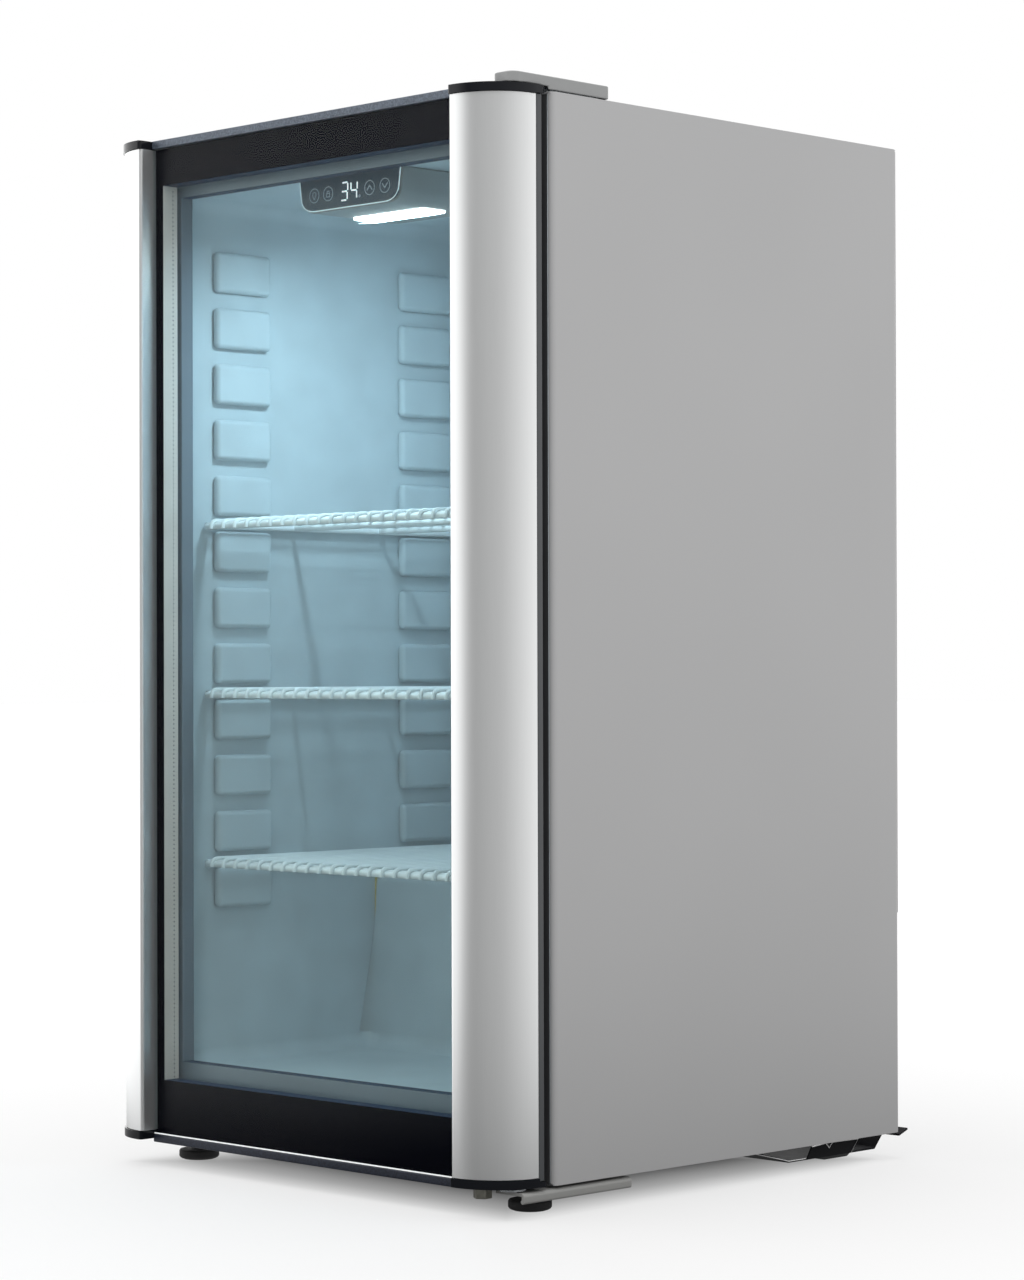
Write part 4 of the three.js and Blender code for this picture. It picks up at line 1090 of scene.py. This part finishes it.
def add_base_plate():
    """The compressor's base plate, with a notched cheek at each side, and thin bright metal bars along the
    cheeks' edges and the slope's rim that are painted highlights.
    """
    refine("compressor_base", 0.3, material=BASE_DARK)
    low, high = in_mm("compressor_base")
    front = in_mm("side_panel_right")[0].y
    outline = [(front + depth, z) for depth, z in CHEEK]
    foot = low.z + SLOPE_LIFT
    slope = [(front + SLOPE_START, high.z - SLOPE_DROP)]
    slope += [(front + depth, foot) for depth in (SLOPE_FOOT, SLOPE_END)]
    cheeks, edges = Solid(), Solid()
    for side in (-1, 1):
        faces = (CHEEK_HALF, CHEEK_HALF + CHEEK_SHEET)
        cheeks.loft([[(side * x, y, z) for y, z in outline] for x in faces], soften=0.2)
        # Bright bars along the edges: painted highlights.
        edges.tube([(side * CUT_EDGE_HALF, y, z) for y, z in outline[1:]], CUT_EDGE, EDGE_SIDES)
        edges.tube([(side * SLOPE_EDGE_HALF, y, z) for y, z in slope], SLOPE_EDGE, EDGE_SIDES)
    show("base_plate_cheeks", cheeks, "cabinet", "compressor_paint", BASE_DARK)
    show("base_plate_edge_highlights", edges, "cabinet", "zinc_steel", EDGE_HIGHLIGHT_METAL)


def add_cabinet():
    """Sheet panels, feet, base, insulation and the hinge parts that stay on the cabinet."""
    for name, side in (("right", 1), ("left", -1)):
        add_side_panel(f"side_panel_{name}", side)
        refine(f"rear_foot_{name}", 1.2, 3)
        add_front_foot(f"front_foot_{name}")
    refine("top_panel", 0.4)
    back = in_mm("back_panel")
    add_back_sheet(*back)
    add_back_screws(*back)
    add_front_strip()
    refine_all([("base_pan", 0.3, 2), ("machine_bulkhead", 0.3, 2), ("insulation", 0.3, 2)])
    add_base_plate()
    add_bottom_bracket()
    add_bottom_pin()
    refine_all([
        ("hinge_cover", 1.3, 4),
        ("hinge_plate_top", 0.4, 2),
        ("hinge_screw_bottom_1", 0.4, 2),
        ("hinge_screw_bottom_2", 0.4, 2),
    ])


# ------------------------------------------------------------------ machine compartment and fittings

# How each node's edges are rounded: (node, millimetres, steps).
MACHINE_FINISHES = [
    ("compressor", 1.0, 3),
    *((f"compressor_grommet_{number}", 1.0, 3) for number in (1, 2, 3, 4)),
    ("starter_relay_box", 2.0, 3),
    ("drip_tray", 0.8, 3),
    ("filter_drier", 0.0, 2),
    *((f"{name}_pipe", 0.0, 2) for name in ("suction", "discharge", "condenser")),
    ("cord_gland", 1.2, 3),
]
FITTING_FINISHES = [
    ("air_duct_cover", 1.2, 3),
    ("evaporator_plate", 0.4, 2),
    ("temperature_probe", 0.8, 3),
    ("fan_guard", 0.5, 2),
    ("fan_rotor", 0.3, 2),
    ("fan_motor", 0.5, 2),
    ("control_housing", 1.0, 3),
    ("control_panel", 0.5, 3),
    ("lamp_lens", 0.8, 3),
    ("control_board", 0.2, 2),
]


# ------------------------------------------------------------------ display

SEGMENTS = {"3": "abgcd", "4": "fgbc"}
DIGIT_HEIGHT = 13.5
# A digit's proportions, as shares of its height, and of its stroke for the gaps between its bars.
DIGIT_WIDTH, DIGIT_STROKE = 0.52, 0.085
LEAN = 0.1
FLAT_GAP, UPRIGHT_GAP, BAR_SOFTEN = 1.3, 0.62, 0.2
MARK_RISE = 0.3
MARK_STROKE, RING_STROKE, ARROW_STROKE = 0.5, 0.55, 0.75
# Where the display's parts stand, from the panel's middle.
DISPLAY_DROP, DISPLAY_GAP = 0.5, 0.25
DIGIT_SPOTS = {"3": -5.5, "4": 5.2}
DEGREE = {"x": 11.8, "z": -5.2, "radius": 0.8, "stroke": 0.6}
BULB_X, LOCK_X, UP_X, DOWN_X = -40, -24, 23, 40
RING_RADIUS = 5.4
ARROW_HALF, ARROW_FOOT, ARROW_TIP = 2.8, 1.6, 1.7


def seven_segments(solid, digit, centre, y):
    """One digit of the temperature display, made of bars, leaning a little to the right."""
    width, stroke = DIGIT_HEIGHT * DIGIT_WIDTH, DIGIT_HEIGHT * DIGIT_STROKE
    half, side = DIGIT_HEIGHT / 2, width / 2
    flat = ((width - stroke * FLAT_GAP) / 2, stroke / 2)
    upright = (stroke / 2, half / 2 - stroke * UPRIGHT_GAP)
    spots = {"a": (0, half, flat), "g": (0, 0, flat), "d": (0, -half, flat),
             "f": (-side, half / 2, upright), "b": (side, half / 2, upright),
             "e": (-side, -half / 2, upright), "c": (side, -half / 2, upright)}
    for name in SEGMENTS[digit]:
        dx, dz, (reach_x, reach_z) = spots[name]
        x, z = centre[0] + dx + dz * LEAN, centre[1] + dz
        low, high = (x - reach_x, y, z - reach_z), (x + reach_x, y + MARK_RISE, z + reach_z)
        solid.block(low, high, stroke * BAR_SOFTEN)


def flat_stroke(solid, points, width, y):
    """A thin raised line through points on the panel's face."""
    for a, b in zip(points, points[1:]):
        along = Vector((b[0] - a[0], b[1] - a[1])).normalized() * width / 2
        across = Vector((-along.y, along.x))
        start, end = Vector(a) - along, Vector(b) + along
        corners = [start + across, end + across, end - across, start - across]
        solid.loft([[(c.x, depth, c.y) for c in corners] for depth in (y, y + MARK_RISE)])


def bulb_mark(x, z):
    """The strokes of a lamp: a round bulb over two short bars."""
    bars = [[(x - half, z - drop), (x + half, z - drop)] for half, drop in ((0.9, 1.9), (0.7, 2.8))]
    return [arc((x, z + 0.7), 1.9, -60, 240, 14), *bars]


def lock_mark(x, z):
    """The strokes of a padlock: a box under a round shackle."""
    half, bottom, top = 1.7, z - 2.4, z + 0.2
    box = [(x - half, bottom), (x + half, bottom), (x + half, top), (x - half, top), (x - half, bottom)]
    return [box, arc((x, z + 0.9), 1.2, 0, 180, 10)]


def arrow_mark(x, z, up):
    """An arrow head that points up, or down where up is -1."""
    foot, tip = z - up * ARROW_FOOT, z + up * ARROW_TIP
    return [(x - ARROW_HALF, foot), (x, tip), (x + ARROW_HALF, foot)]


def add_display():
    """Two lit digits between four round key marks: lamp, lock, up and down."""
    low, high = in_mm("control_panel")
    face = low.y - DISPLAY_GAP
    middle = (low.x + high.x) / 2
    z = (low.z + high.z) / 2 - DISPLAY_DROP
    digits = Solid()
    for digit, x in DIGIT_SPOTS.items():
        seven_segments(digits, digit, (middle + x, z), face)
    show("display_digits", digits, "cabinet", "touch_panel", MARK_LIT)
    marks = Solid()
    degree = arc((middle + DEGREE["x"], z + DEGREE["z"]), DEGREE["radius"], 0, 360, 10)
    flat_stroke(marks, degree, DEGREE["stroke"], face)
    for x in (BULB_X, LOCK_X, UP_X, DOWN_X):
        flat_stroke(marks, arc((middle + x, z), RING_RADIUS, 0, 360, 28), RING_STROKE, face)
    for stroke in bulb_mark(middle + BULB_X, z) + lock_mark(middle + LOCK_X, z):
        flat_stroke(marks, stroke, MARK_STROKE, face)
    for x, up in ((UP_X, 1), (DOWN_X, -1)):
        flat_stroke(marks, arrow_mark(middle + x, z, up), ARROW_STROKE, face)
    show("display_marks", marks, "cabinet", "touch_panel", MARK_FAINT)


# The rim follows the panel's outline, whose sides lean in to round lower corners.
RIM_DEPTH, RIM_RADIUS, HEAD_RADIUS, RIM_SIDES = 0.3, 0.5, 0.6, 8
RIM_TOP_GAP = 1
RIM_TAPER, CORNER_RISE, CORNER_RUN, CORNER_BEND, CORNER_STEPS = 2, 10, 18, 4, 8


def add_panel_rim():
    """A rim round the foot of the control panel, and a strip along its head, both glowing as painted light.
    """
    low, high = in_mm("control_panel")
    middle, half = (low.x + high.x) / 2, (high.x - low.x) / 2
    face, foot = low.y + RIM_DEPTH, low.z + RIM_DEPTH
    side = (RIM_TAPER - half, low.z + CORNER_RISE)
    corner = curve(side, (CORNER_BEND - half, foot), (CORNER_RUN - half, foot), CORNER_STEPS)
    left = [(-half, high.z - RIM_TOP_GAP), *corner]
    path = left + [(-x, z) for x, z in reversed(left)]
    head = high.z - HEAD_RADIUS
    solid = Solid()
    solid.tube([(middle + x, face, z) for x, z in path], RIM_RADIUS, RIM_SIDES)
    solid.tube([(low.x, face, head), (high.x, face, head)], HEAD_RADIUS, RIM_SIDES)
    show("control_panel_rim", solid, "cabinet", "grey_plastic", PANEL_RIM_PAINTED_LIGHT)


LAMP_POWER, LAMP_COLOUR = 0.78, (0.62, 0.85, 1.0)
LAMP_SHARE, LAMP_DROP = 0.9, 1.5
LAMP_AIM = (0, 0.12, -1)


def add_lamp_light():
    """The light that the lamp lens gives, aimed down and a little backwards."""
    low, high = in_mm("lamp_lens")
    place = Vector(((low.x + high.x) / 2, (low.y + high.y) / 2, low.z - LAMP_DROP)) * MM
    size = ((high.x - low.x) * MM * LAMP_SHARE, (high.y - low.y) * MM * LAMP_SHARE)
    lamp = add_area("lamp_light", place, place + Vector(LAMP_AIM), size, LAMP_POWER, LAMP_COLOUR)
    lamp.visible_glossy = False


# ------------------------------------------------------------------ build

add_camera()
add_studio()
add_tub()
add_shelf_supports()
for shelf_node in ("shelf_lower", "shelf_middle", "shelf_upper"):
    add_shelf(shelf_node)
add_door()
add_cabinet()
refine_all(MACHINE_FINISHES)
refine_all(FITTING_FINISHES)
add_display()
add_panel_rim()
add_lamp_light()
